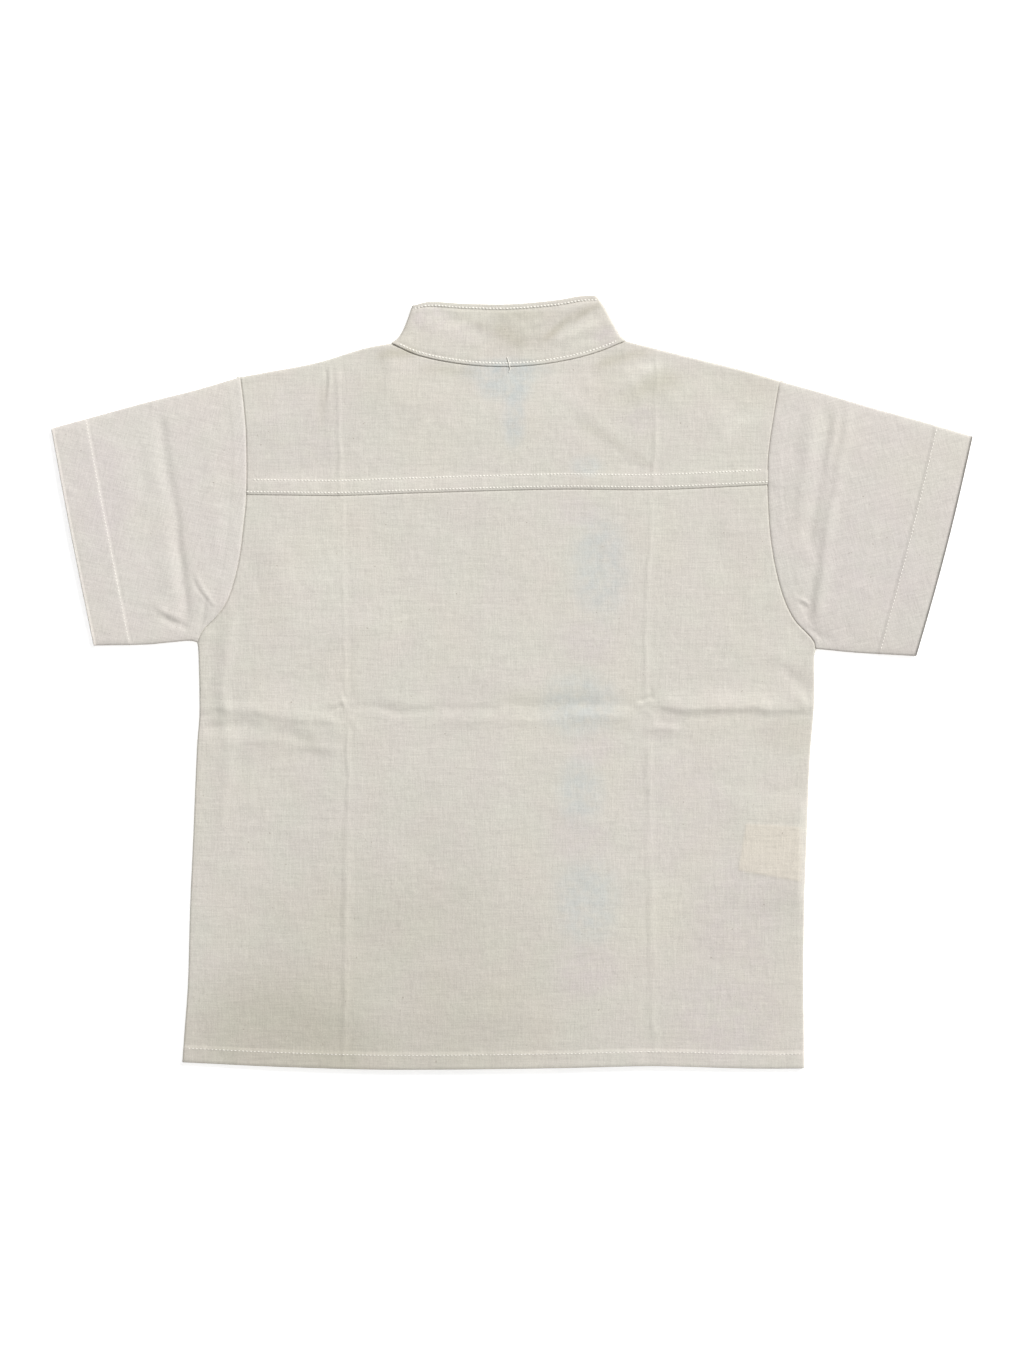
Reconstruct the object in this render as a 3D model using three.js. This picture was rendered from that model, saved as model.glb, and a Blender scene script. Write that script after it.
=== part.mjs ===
// A small child's short-sleeved cotton shirt with a stand collar, laid flat on its front.
// Millimetres, +Z up. The table is z = 0, the collar points along +Y and the wearer's left is at -X.
// Fronts, sleeve undersides, collar bands and buttons rest on the table; the back and the yoke lie
// on top of them. Every cloth piece is a closed wall with an outer and an inner grid of points.
import * as THREE from "three";

// ---- driving dimensions -------------------------------------------------------------------------
const WALL = 1.0; // thickness of one cloth layer
const GAP = 0.3; // clearance between layers that lie on each other
const SEAM_HALF_GAP = 0.15; // half of the clearance between two pieces at a seam
const HEM_WALL = 1.4; // thickness of a turned hem
const COLLAR_WALL = 1.6; // the collar is cut double
const EDGE_HEIGHT = 2 * WALL + GAP; // height of the shirt along its outline
const CENTRE_X = -4.7; // centre line of the front opening
const HALF_CHEST = 160; // half the width over which the back arches
const ARCH_RISE = 3.3; // how far the middle of the back lies over its edges
const ARCH_POWER = 1.6;
const HEM_ARCH_SHARE = 0.64; // share of the arch that is left at the hem
const NECK_ARCH_SHARE = 0.3; // and at the neck seam, over the collar bands
const EDGE_FADE = 30; // distance over which the arch dies out toward an edge
const HEM_BAND = 7.4; // depth of the body hem
const CUFF_BAND = 18.5; // depth of the sleeve hems
const HEM_STEP = 0.9; // width of the step where a hem starts
const HEM_RISE = 2 * (HEM_WALL - WALL); // two hems on each other add this height
const YOKE_PROUD = 0.3; // the yoke lies this far over the back
const YOKE_BAND = 7.8; // stitched seam allowance along the yoke seam
const YOKE_BAND_RISE = 0.25;
const ARMHOLE_BAND = 7; // seam allowance pressed into the sleeve
const ARMHOLE_BAND_RISE = 0.25;
const SLEEVE_ARCH = 1.2; // how far the middle of a sleeve lies over its edges
const OVERLAP = 13; // half the width of the button overlap
const OVERLAP_GAP = 0.4; // clearance between the two fronts there
const BUTTON_RADIUS = 4.75;
const BUTTON_THICKNESS = 1.2;
const BUTTON_HOLE_RADIUS = 0.7;
const BUTTON_HOLE_OFFSET = 1.15;
const BUTTON_TOP_Y = 122;
const BUTTON_PITCH = 65;
const BUTTON_COUNT = 5;
const PLACKET_LIFT = BUTTON_THICKNESS + GAP; // the fronts ride over the buttons by this height
const PLACKET_FLAT = 7; // half the width that is lifted fully
const PLACKET_FALL = 25; // and the width over which it comes down
const PLACKET_ENDS = { bottom: -188, bottomRun: 36, top: 148, topRun: 20 };
const LABEL_WALL = 1.0;
const LABEL_ZONE = { left: 118, bottom: -108.5, top: -71, fade: 16 }; // lifted back over the label
const NECK_SPREAD = 22; // the lift over the collar bands runs this far along each shoulder
const EDGE_REACH = 58; // panel columns this near a side edge follow it as it moves
const ARC_STEPS = 5; // facets round a folded edge

// ---- outline tables (x, y in mm) ----------------------------------------------------------------
// Each side runs from the hem to the underarm, then up the armhole to the shoulder.
const SIDE_LEFT = [
  { y: -197.3, x: -171.1 },
  { y: -182.3, x: -170.0 },
  { y: -157.3, x: -168.2 },
  { y: -115.7, x: -167.0 },
  { y: -82.4, x: -165.5 },
  { y: -32.5, x: -163.4 },
  { y: -15.9, x: -162.2 },
  { y: 17.4, x: -162.8 },
  { y: 20.4, x: -163.2 },
  { y: 26.9, x: -160.1 },
  { y: 33.3, x: -153.7 },
  { y: 40.5, x: -148.5 },
  { y: 50.8, x: -144.6 },
  { y: 65.1, x: -141.3 },
  { y: 81.9, x: -139.2 },
  { y: 97.4, x: -137.8 },
  { y: 127.1, x: -137.9 },
  { y: 143.9, x: -139.2 },
  { y: 158.4, x: -141.0 },
];
const SIDE_RIGHT = [
  { y: -200.5, x: 152.1 },
  { y: -182.3, x: 152.0 },
  { y: -157.3, x: 151.8 },
  { y: -115.7, x: 152.2 },
  { y: -82.4, x: 153.4 },
  { y: -40.8, x: 155.0 },
  { y: -9.6, x: 157.4 },
  { y: 14.4, x: 157.4 },
  { y: 17.0, x: 158.2 },
  { y: 22.0, x: 156.4 },
  { y: 31.8, x: 147.3 },
  { y: 42.4, x: 141.9 },
  { y: 55.6, x: 138.0 },
  { y: 71.6, x: 135.0 },
  { y: 87.5, x: 133.6 },
  { y: 102.5, x: 133.1 },
  { y: 119.3, x: 133.6 },
  { y: 144.5, x: 137.3 },
  { y: 156.3, x: 139.4 },
];
// Rows of points that the back, the yoke, the fronts and the sleeves share on their side edges.
const BODY_ROWS = [
  { name: "hem", left: -197.3, right: -200.5, front: true },
  { name: "hem stitching", left: -189.9, right: -193.1, front: true },
  { name: "hem step", left: -188.6, right: -191.8, front: true },
  { name: "skirt", left: -176, right: -176, front: false },
  { name: "skirt", left: -155, right: -155, front: true },
  { name: "skirt", left: -134, right: -134, front: false },
  { name: "below the label", left: -117, right: -117, front: true },
  { name: "label foot", left: -106, right: -107, front: false },
  { name: "label", left: -90, right: -90, front: false },
  { name: "label top", left: -72, right: -72, front: true },
  { name: "above the label", left: -58, right: -58, front: false },
  { name: "waist", left: -42, right: -42, front: true },
  { name: "crease", left: -30, right: -26, front: false },
  { name: "crease", left: -23, right: -18.5, front: false },
  { name: "crease", left: -15.3, right: -13.3, front: true },
  { name: "crease", left: -9, right: -8, front: false },
  { name: "chest", left: 3, right: 3, front: false },
  { name: "underarm", left: 20.4, right: 17.0, front: true },
  { name: "armhole", left: 23.4, right: 20.2, front: true },
  { name: "armhole", left: 27.4, right: 24.6, front: true },
  { name: "armhole", left: 33.3, right: 31.8, front: true },
  { name: "armhole", left: 41.0, right: 42.4, front: true },
  { name: "armhole", left: 52.0, right: 55.6, front: true },
  { name: "armhole", left: 66.0, right: 71.6, front: true },
  { name: "armhole", left: 81.9, right: 87.5, front: true },
  { name: "yoke seam", left: 97.4, right: 102.5, front: true },
];
const YOKE_ROWS = [
  { name: "yoke seam", left: 97.4, right: 102.5 },
  { name: "band edge", left: 105.2, right: 110.3 },
  { name: "band step", left: 106.2, right: 111.3 },
  { name: "shoulder blade", left: 119, right: 122 },
  { name: "shoulder", left: 133, right: 134 },
  { name: "shoulder", left: 146, right: 145.5 },
  { name: "shoulder edge", left: 158.4, right: 156.3 },
];
const HEM_LINE = [
  { x: -171.1, y: -197.3 },
  { x: -120, y: -199.6 },
  { x: -63.4, y: -201.0 },
  { x: 25, y: -200.2 },
  { x: 73.8, y: -199.2 },
  { x: 123.8, y: -200.5 },
  { x: 152.1, y: -200.5 },
];
const YOKE_SEAM = [
  { x: -137.8, y: 97.4 },
  { x: -94.1, y: 96.8 },
  { x: -85.3, y: 96.9 },
  { x: -48.2, y: 98.2 },
  { x: 25, y: 100.1 },
  { x: 74.3, y: 99.9 },
  { x: 133.1, y: 102.5 },
];
const SHOULDER_LEFT = [
  { x: -141, y: 158.4 },
  { x: -125.8, y: 161.1 },
  { x: -100.9, y: 165.9 },
  { x: -75.9, y: 173.4 },
  { x: -62.6, y: 175.9 },
];
const SHOULDER_RIGHT = [
  { x: 58.8, y: 177.2 },
  { x: 73.8, y: 173.4 },
  { x: 98.8, y: 167.2 },
  { x: 123.8, y: 160.9 },
  { x: 139.4, y: 156.3 },
];
const BACK_NECK = [
  { x: -62.6, y: 175.9 },
  { x: -48.9, y: 169.8 },
  { x: -28.9, y: 165.6 },
  { x: -8.9, y: 163.9 },
  { x: 10.9, y: 164.6 },
  { x: 30.7, y: 167.7 },
  { x: 45.8, y: 171.9 },
  { x: 58.8, y: 177.2 },
];
// Front neckline, to which the front bands of the collar are sewn.
const FRONT_NECK = [
  { x: -62.6, y: 175.9 },
  { x: -50, y: 168.7 },
  { x: -38, y: 161.9 },
  { x: -26, y: 155.6 },
  { x: -16, y: 151.2 },
  { x: -4.7, y: 149.2 },
  { x: 6.6, y: 151.4 },
  { x: 17, y: 156.0 },
  { x: 30, y: 162.8 },
  { x: 44, y: 170.2 },
  { x: 58.8, y: 177.2 },
];
const COLLAR_TOP = [
  { x: -51.7, y: 195.4 },
  { x: -43, y: 197.3 },
  { x: -26, y: 196.3 },
  { x: -1, y: 195.8 },
  { x: 24, y: 197.9 },
  { x: 36, y: 199.9 },
  { x: 44.4, y: 200.2 },
];
// Folded ends of the collar, from the neck seam (up = 0) to its top edge (up = 1).
const COLLAR_FOLD = [
  { up: 0.0, leftX: -62.3, leftY: 176.3, rightX: 59.2, rightY: 177.6 },
  { up: 0.12, leftX: -59.4, leftY: 178.4, rightX: 56.9, rightY: 179.8 },
  { up: 0.3, leftX: -57.0, leftY: 181.6, rightX: 54.6, rightY: 183.4 },
  { up: 0.5, leftX: -55.2, leftY: 185.4, rightX: 51.9, rightY: 188.2 },
  { up: 0.75, leftX: -53.4, leftY: 190.3, rightX: 48.7, rightY: 194.2 },
  { up: 1.0, leftX: -51.7, leftY: 195.4, rightX: 44.4, rightY: 200.3 },
];
const COLLAR_END = { seamX: 4.0, topX: 5.4, topY: 176.5 }; // front ends, x beside the centre line
const COLLAR_SEAM_LIFT = 0.45; // the band climbs this far toward its seam
const SLEEVE_LEFT = {
  name: "sleeve_left",
  armhole: SIDE_LEFT,
  rowSide: "left",
  outward: -1,
  cuffBow: 0.4,
  topEdge: [
    { x: -141.0, y: 158.4 },
    { x: -163.3, y: 151.7 },
    { x: -188.2, y: 145.7 },
    { x: -213.2, y: 138.9 },
    { x: -238.9, y: 131.8 },
  ],
  underEdge: [
    { x: -163.2, y: 20.4 },
    { x: -166.0, y: 22.4 },
    { x: -175.8, y: 20.9 },
    { x: -188.2, y: 19.4 },
    { x: -216.8, y: 18.8 },
  ],
};
const SLEEVE_RIGHT = {
  name: "sleeve_right",
  armhole: SIDE_RIGHT,
  rowSide: "right",
  outward: 1,
  cuffBow: 1.2,
  topEdge: [
    { x: 139.4, y: 156.3 },
    { x: 161.2, y: 150.4 },
    { x: 186.2, y: 142.8 },
    { x: 211.1, y: 136.0 },
    { x: 239.4, y: 127.6 },
  ],
  underEdge: [
    { x: 158.2, y: 17.0 },
    { x: 163.0, y: 16.5 },
    { x: 173.7, y: 15.4 },
    { x: 186.2, y: 14.6 },
    { x: 210.1, y: 13.3 },
  ],
};
const CARE_LABEL = [
  { x: 119.1, y: -100.4 },
  { x: 149.6, y: -104.3 },
  { x: 150.6, y: -75.1 },
  { x: 120.6, y: -73.1 },
];

// ---- creases and folds: ridges have a positive height, troughs a negative one -------------------
const BODY_FOLDS = [
  { x1: -160, y1: -15.3, x2: -96, y2: -18.0, width: 4.2, height: 0.55 },
  { x1: -150, y1: -23.5, x2: -96, y2: -31.0, width: 4.6, height: -0.35 },
  { x1: -82, y1: -14.8, x2: -38, y2: -14.0, width: 4.4, height: -0.45 },
  { x1: -34, y1: -13.8, x2: 62, y2: -12.4, width: 3.8, height: -0.45 },
  { x1: -34, y1: -20.5, x2: 62, y2: -19.2, width: 3.8, height: 0.4 },
  { x1: 80, y1: -13.4, x2: 152, y2: -13.2, width: 4.4, height: 0.9 },
  { x1: -91.5, y1: 138, x2: -88.2, y2: 50, width: 3.8, height: -0.35 },
  { x1: -88.0, y1: 42, x2: -86.4, y2: -4, width: 3.8, height: -0.45 },
  { x1: -86.4, y1: -26, x2: -87.2, y2: -130, width: 3.8, height: 0.5 },
  { x1: -87.2, y1: -130, x2: -88.4, y2: -186, width: 3.8, height: 0.4 },
  { x1: 73.5, y1: 150, x2: 70.4, y2: 30, width: 3.8, height: 0.35 },
  { x1: 70.2, y1: 28, x2: 69.8, y2: -90, width: 4.2, height: 0.45 },
  { x1: 70.2, y1: -92, x2: 73.4, y2: -186, width: 4.2, height: 0.35 },
  { x1: -149.8, y1: 42, x2: -149.0, y2: -77, width: 5.0, height: 0.45 },
];
const SLEEVE_FOLDS = {
  sleeve_left: [{ x1: -182.5, y1: 138, x2: -168.6, y2: 36, width: 4.6, height: -0.7 }],
  sleeve_right: [
    { x1: 157.8, y1: 136, x2: 149.2, y2: 92, width: 4.6, height: 0.6 },
    { x1: 164.4, y1: 134, x2: 157.0, y2: 84, width: 4.4, height: -0.45 },
    { x1: 174.8, y1: 134, x2: 159.4, y2: 40, width: 5.0, height: 0.75 },
  ],
};

// Columns of the body panels, as x on the hem; the crease columns keep their x up the whole panel.
const BACK_COLUMNS = [
  -155, -144, -130, -112, -98, -92.5, -87, -81.5, -74, -56, -38, -21, -4.7,
  12, 28, 46, 60, 66, 70.5, 75, 82, 98, 110, 121, 136,
];
const YOKE_COLUMNS = [
  -129, -114, -100, -94, -89, -84, -76, -69, -62.6, -55, -46, -36, -26, -15, -4.7,
  5, 14, 23, 33, 43, 52, 58.8, 66, 72, 77, 90, 103, 118,
];
const FRONT_LEFT_COLUMNS = [-140, -115, -92, -78, -62.6, -54, -44, -33, -22, -11.7, -4.7, 2.3];
const FRONT_RIGHT_COLUMNS = [-11.7, -4.7, 2.3, 9.3, 17.5, 28, 39, 49, 58.8, 76, 98, 125];
// Shares of a sleeve's length between its armhole band and its hem.
const SLEEVE_STATIONS = [0.16, 0.22, 0.27, 0.32, 0.37, 0.42, 0.48, 0.56, 0.66, 0.74];
const COLLAR_FRONT_STATIONS = [0, 0.15, 0.32, 0.5, 0.68, 0.85, 1];
const COLLAR_BACK_STATIONS = [0, 0.04, 0.1, 0.18, 0.27, 0.36, 0.45, 0.54, 0.63, 0.72, 0.81, 0.9, 0.96, 1];

// ---- small mathematics --------------------------------------------------------------------------
const mix = (a, b, t) => a + (b - a) * t;
const clamp01 = (t) => Math.min(1, Math.max(0, t));
const smooth = (t) => clamp01(t) * clamp01(t) * (3 - 2 * clamp01(t));

// Value of column `out` at `at` in a table sorted by column `key`, by a cubic through its rows.
function follow(table, key, out, at) {
  const rows = table[0][key] <= table.at(-1)[key] ? table : [...table].reverse();
  const last = rows.length - 1;
  at = Math.max(rows[0][key], Math.min(rows[last][key], at));
  const above = rows.findIndex((row) => row[key] > at);
  const i = above < 0 ? last - 1 : Math.max(0, above - 1);
  const slope = (k) => {
    const a = rows[Math.max(0, k - 1)];
    const b = rows[Math.min(last, k + 1)];
    return (b[out] - a[out]) / (b[key] - a[key]);
  };
  const step = rows[i + 1][key] - rows[i][key];
  const t = (at - rows[i][key]) / step;
  const t2 = t * t;
  const t3 = t2 * t;
  return (
    (2 * t3 - 3 * t2 + 1) * rows[i][out] +
    (t3 - 2 * t2 + t) * step * slope(i) +
    (3 * t2 - 2 * t3) * rows[i + 1][out] +
    (t3 - t2) * step * slope(i + 1)
  );
}

// Horizontal shift that moves the curve x(y) sideways by SEAM_HALF_GAP, square to itself.
function seamShift(table, y) {
  const slope = follow(table, "y", "x", y + 0.5) - follow(table, "y", "x", y - 0.5);
  return SEAM_HALF_GAP * Math.hypot(1, slope);
}

// Height that a list of folds adds at a point: a soft ridge or trough along each straight line.
function foldHeight(folds, x, y) {
  let sum = 0;
  for (const f of folds) {
    const dx = f.x2 - f.x1;
    const dy = f.y2 - f.y1;
    const along = ((x - f.x1) * dx + (y - f.y1) * dy) / (dx * dx + dy * dy);
    const side = Math.abs((x - f.x1) * dy - (y - f.y1) * dx) / Math.hypot(dx, dy);
    const taper = smooth((along + 0.08) / 0.16) * smooth((1.08 - along) / 0.16);
    sum += f.height * taper * Math.exp(-((side / f.width) ** 2));
  }
  return sum;
}

// ---- heights of the shirt -----------------------------------------------------------------------
const hemY = (x) => follow(HEM_LINE, "x", "y", x);
const seamY = (x) => follow(YOKE_SEAM, "x", "y", x);
const frontNeckY = (x) => follow(FRONT_NECK, "x", "y", x);

// Upper edge of the yoke: left shoulder, back neckline, right shoulder.
function yokeTopY(x) {
  if (x < BACK_NECK[0].x) return follow(SHOULDER_LEFT, "x", "y", x);
  if (x > BACK_NECK.at(-1).x) return follow(SHOULDER_RIGHT, "x", "y", x);
  return follow(BACK_NECK, "x", "y", x);
}

const hemShare = (x, y) => 1 - clamp01((y - hemY(x) - HEM_BAND - 0.2) / HEM_STEP);
const bodyWall = (x, y) => mix(WALL, HEM_WALL, hemShare(x, y));

// Share of the arch at a point: it dies out toward shoulders, neck and hem.
function archShare(x, y) {
  const overNeck =
    smooth((x - BACK_NECK[0].x + NECK_SPREAD) / NECK_SPREAD) *
    smooth((BACK_NECK.at(-1).x + NECK_SPREAD - x) / NECK_SPREAD);
  const top = NECK_ARCH_SHARE * overNeck;
  const down = yokeTopY(x) - y;
  const up = y - hemY(x);
  const fromTop = mix(top, 1, smooth(down / EDGE_FADE));
  const fromHem = mix(HEM_ARCH_SHARE, 1, smooth(up / EDGE_FADE));
  return Math.min(fromTop, fromHem);
}

// The care label lifts the back over itself, next to the side seam.
function labelLift(x, y) {
  const besideX = Math.max(LABEL_ZONE.left - x, 0);
  const besideY = Math.max(LABEL_ZONE.bottom - y, y - LABEL_ZONE.top, 0);
  const near = 1 - smooth(Math.hypot(besideX, besideY) / LABEL_ZONE.fade);
  const arch = ARCH_RISE * (1 - Math.min(1, (x - CENTRE_X) / HALF_CHEST) ** ARCH_POWER);
  return x > CENTRE_X ? near * Math.max(0, LABEL_WALL + 1.2 * GAP - arch) : 0;
}

// Top surface of the back, without the yoke's own thickness.
function backHeight(x, y) {
  const side = Math.min(1, Math.abs(x - CENTRE_X) / HALF_CHEST);
  const arch = ARCH_RISE * (1 - side ** ARCH_POWER) * archShare(x, y);
  const edgeFade = smooth((1.02 - side) / 0.06);
  return (
    EDGE_HEIGHT +
    arch +
    HEM_RISE * hemShare(x, y) +
    labelLift(x, y) +
    foldHeight(BODY_FOLDS, x, y) * mix(0.5, 1, edgeFade)
  );
}

// How far the button strip holds the fronts off the table.
function placketLift(x, y) {
  const across = 1 - smooth((Math.abs(x - CENTRE_X) - PLACKET_FLAT) / PLACKET_FALL);
  const ends = PLACKET_ENDS;
  const fromHem = smooth((y - ends.bottom) / ends.bottomRun);
  const fromNeck = smooth((ends.top - y) / ends.topRun);
  return PLACKET_LIFT * across * fromHem * fromNeck;
}

// ---- closed walls from grids of points ----------------------------------------------------------
// outer and inner are grids of THREE.Vector3. The rows may close into a ring (closed = true).
function wallGeometry(outer, inner, closed) {
  const rows = outer.length;
  const columns = outer[0].length;
  const points = [];
  for (const grid of [outer, inner]) {
    for (const row of grid) {
      for (const p of row) points.push(p.x, p.y, p.z);
    }
  }
  const outerAt = (i, j) => i * columns + (j % columns);
  const innerAt = (i, j) => rows * columns + outerAt(i, j);
  const faces = [];
  const quad = (a, b, c, d) => faces.push(a, b, c, a, c, d);
  const spans = closed ? columns : columns - 1;
  for (let i = 0; i < rows - 1; i++) {
    for (let j = 0; j < spans; j++) {
      quad(outerAt(i, j), outerAt(i, j + 1), outerAt(i + 1, j + 1), outerAt(i + 1, j));
      quad(innerAt(i + 1, j), innerAt(i + 1, j + 1), innerAt(i, j + 1), innerAt(i, j));
    }
  }
  for (let j = 0; j < spans; j++) {
    quad(innerAt(0, j), innerAt(0, j + 1), outerAt(0, j + 1), outerAt(0, j));
    quad(
      outerAt(rows - 1, j),
      outerAt(rows - 1, j + 1),
      innerAt(rows - 1, j + 1),
      innerAt(rows - 1, j),
    );
  }
  if (!closed) {
    for (let i = 0; i < rows - 1; i++) {
      quad(outerAt(i, 0), outerAt(i + 1, 0), innerAt(i + 1, 0), innerAt(i, 0));
      quad(
        innerAt(i, columns - 1),
        innerAt(i + 1, columns - 1),
        outerAt(i + 1, columns - 1),
        outerAt(i, columns - 1),
      );
    }
  }
  const geometry = new THREE.BufferGeometry();
  geometry.setAttribute("position", new THREE.Float32BufferAttribute(points, 3));
  geometry.setIndex(faces);
  return facingOut(geometry);
}

// Signed volume of a closed mesh, used to turn its faces outward.
function facingOut(geometry) {
  const index = geometry.index;
  const position = geometry.attributes.position;
  const corner = (k) => new THREE.Vector3().fromBufferAttribute(position, index.getX(k));
  let volume = 0;
  for (let k = 0; k < index.count; k += 3) {
    volume += corner(k).dot(corner(k + 1).cross(corner(k + 2)));
  }
  if (volume < 0) {
    for (let k = 0; k < index.count; k += 3) {
      const second = index.getX(k + 1);
      index.setX(k + 1, index.getX(k + 2));
      index.setX(k + 2, second);
    }
  }
  geometry.computeVertexNormals();
  return geometry;
}

// ---- body panels --------------------------------------------------------------------------------
// Points of a side edge at the given rows. At the armhole it is shifted, inward for the body.
function edgePoints(table, side, rows, shift) {
  const underarm = BODY_ROWS.find((row) => row.name === "underarm")[side];
  return rows.map((row) => {
    const y = row[side];
    const offset = y >= underarm ? shift * seamShift(table, y) : 0;
    return { x: follow(table, "y", "x", y) + offset, y };
  });
}

// The rows with one of them moved up or down, to part two pieces at the seam between them.
const nudged = (rows, k, dy) =>
  rows.map((row, i) => (i === k ? { ...row, left: row.left + dy, right: row.right + dy } : row));

// A straight front edge: the given x, with the height shares of the side edge across from it.
function centreEdge(x, across, low, high) {
  const run = across.at(-1).y - across[0].y;
  return across.map((p) => ({ x, y: mix(low, high, (p.y - across[0].y) / run) }));
}

// A panel between two side edges of equally many points. Columns are x on the lower edge; those
// within EDGE_REACH of a side edge follow that edge as it moves, and the others stay upright.
function panelGeometry({ left, right, bottomY, topY, columns, surface, wall }) {
  const xs = [left[0].x, ...columns, right[0].x];
  const upper = [];
  const lower = [];
  left.forEach((leftPoint, i) => {
    const rightPoint = right[i];
    const v = (leftPoint.y - left[0].y) / (left.at(-1).y - left[0].y);
    const between = (x) => mix(bottomY(x), topY(x), v);
    const leftError = leftPoint.y - between(leftPoint.x);
    const rightError = rightPoint.y - between(rightPoint.x);
    const line = xs.map((column) => {
      const u = (column - xs[0]) / (xs.at(-1) - xs[0]);
      const leftPull = clamp01(1 - (column - xs[0]) / EDGE_REACH);
      const rightPull = clamp01(1 - (xs.at(-1) - column) / EDGE_REACH);
      const x =
        column + leftPull * (leftPoint.x - left[0].x) + rightPull * (rightPoint.x - right[0].x);
      return { x, y: between(x) + mix(leftError, rightError, u) };
    });
    upper.push(line.map((p) => new THREE.Vector3(p.x, p.y, surface(p.x, p.y))));
    lower.push(line.map((p) => new THREE.Vector3(p.x, p.y, surface(p.x, p.y) - wall(p.x, p.y))));
  });
  return wallGeometry(upper, lower, false);
}

function backPanelGeometry() {
  const rows = nudged(BODY_ROWS, BODY_ROWS.length - 1, -SEAM_HALF_GAP);
  return panelGeometry({
    left: edgePoints(SIDE_LEFT, "left", rows, 1),
    right: edgePoints(SIDE_RIGHT, "right", rows, -1),
    bottomY: hemY,
    topY: (x) => seamY(x) - SEAM_HALF_GAP,
    columns: BACK_COLUMNS,
    surface: backHeight,
    wall: bodyWall,
  });
}

function yokeGeometry() {
  const bandShare = (x, y) => 1 - clamp01(y - seamY(x) - YOKE_BAND - 0.1);
  const proud = (x, y) => YOKE_PROUD + YOKE_BAND_RISE * bandShare(x, y);
  const overNeck = (x) => x > BACK_NECK[0].x && x < BACK_NECK.at(-1).x;
  const rows = nudged(YOKE_ROWS, 0, SEAM_HALF_GAP);
  return panelGeometry({
    left: edgePoints(SIDE_LEFT, "left", rows, 1),
    right: edgePoints(SIDE_RIGHT, "right", rows, -1),
    bottomY: (x) => seamY(x) + SEAM_HALF_GAP,
    topY: (x) => yokeTopY(x) - (overNeck(x) ? SEAM_HALF_GAP : 0),
    columns: YOKE_COLUMNS,
    surface: (x, y) => backHeight(x, y) + proud(x, y),
    wall: (x, y) => WALL + proud(x, y),
  });
}

// Upper edge of a front: its shoulder, then the neckline, level across the overlap.
function frontTopY(x, side) {
  const shoulder = side < 0 ? x < BACK_NECK[0].x : x > BACK_NECK.at(-1).x;
  if (shoulder) return yokeTopY(x);
  const beyondCentre = side < 0 ? x > CENTRE_X : x < CENTRE_X;
  return frontNeckY(beyondCentre ? CENTRE_X : x) - SEAM_HALF_GAP;
}

function frontGeometry(side) {
  const rows = [...BODY_ROWS.filter((row) => row.front), ...YOKE_ROWS.slice(1)];
  const edgeX = CENTRE_X - side * OVERLAP;
  const level = frontTopY(CENTRE_X, side);
  const leftSide = side < 0;
  const outlineEdge = leftSide
    ? edgePoints(SIDE_LEFT, "left", rows, 1)
    : edgePoints(SIDE_RIGHT, "right", rows, -1);
  const overlapEdge = centreEdge(edgeX, outlineEdge, hemY(edgeX), level);
  // The right front lies on the left one in the overlap, then comes down to the table.
  const base = (x, y) => {
    const overLeft = leftSide ? 0 : smooth((CENTRE_X + OVERLAP + 17 - x) / 16);
    return placketLift(x, y) + overLeft * (bodyWall(x, y) + OVERLAP_GAP);
  };
  return panelGeometry({
    left: leftSide ? outlineEdge : overlapEdge,
    right: leftSide ? overlapEdge : outlineEdge,
    bottomY: hemY,
    topY: (x) => frontTopY(x, side),
    columns: leftSide ? FRONT_LEFT_COLUMNS : FRONT_RIGHT_COLUMNS,
    surface: (x, y) => base(x, y) + bodyWall(x, y),
    wall: bodyWall,
  });
}

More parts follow.
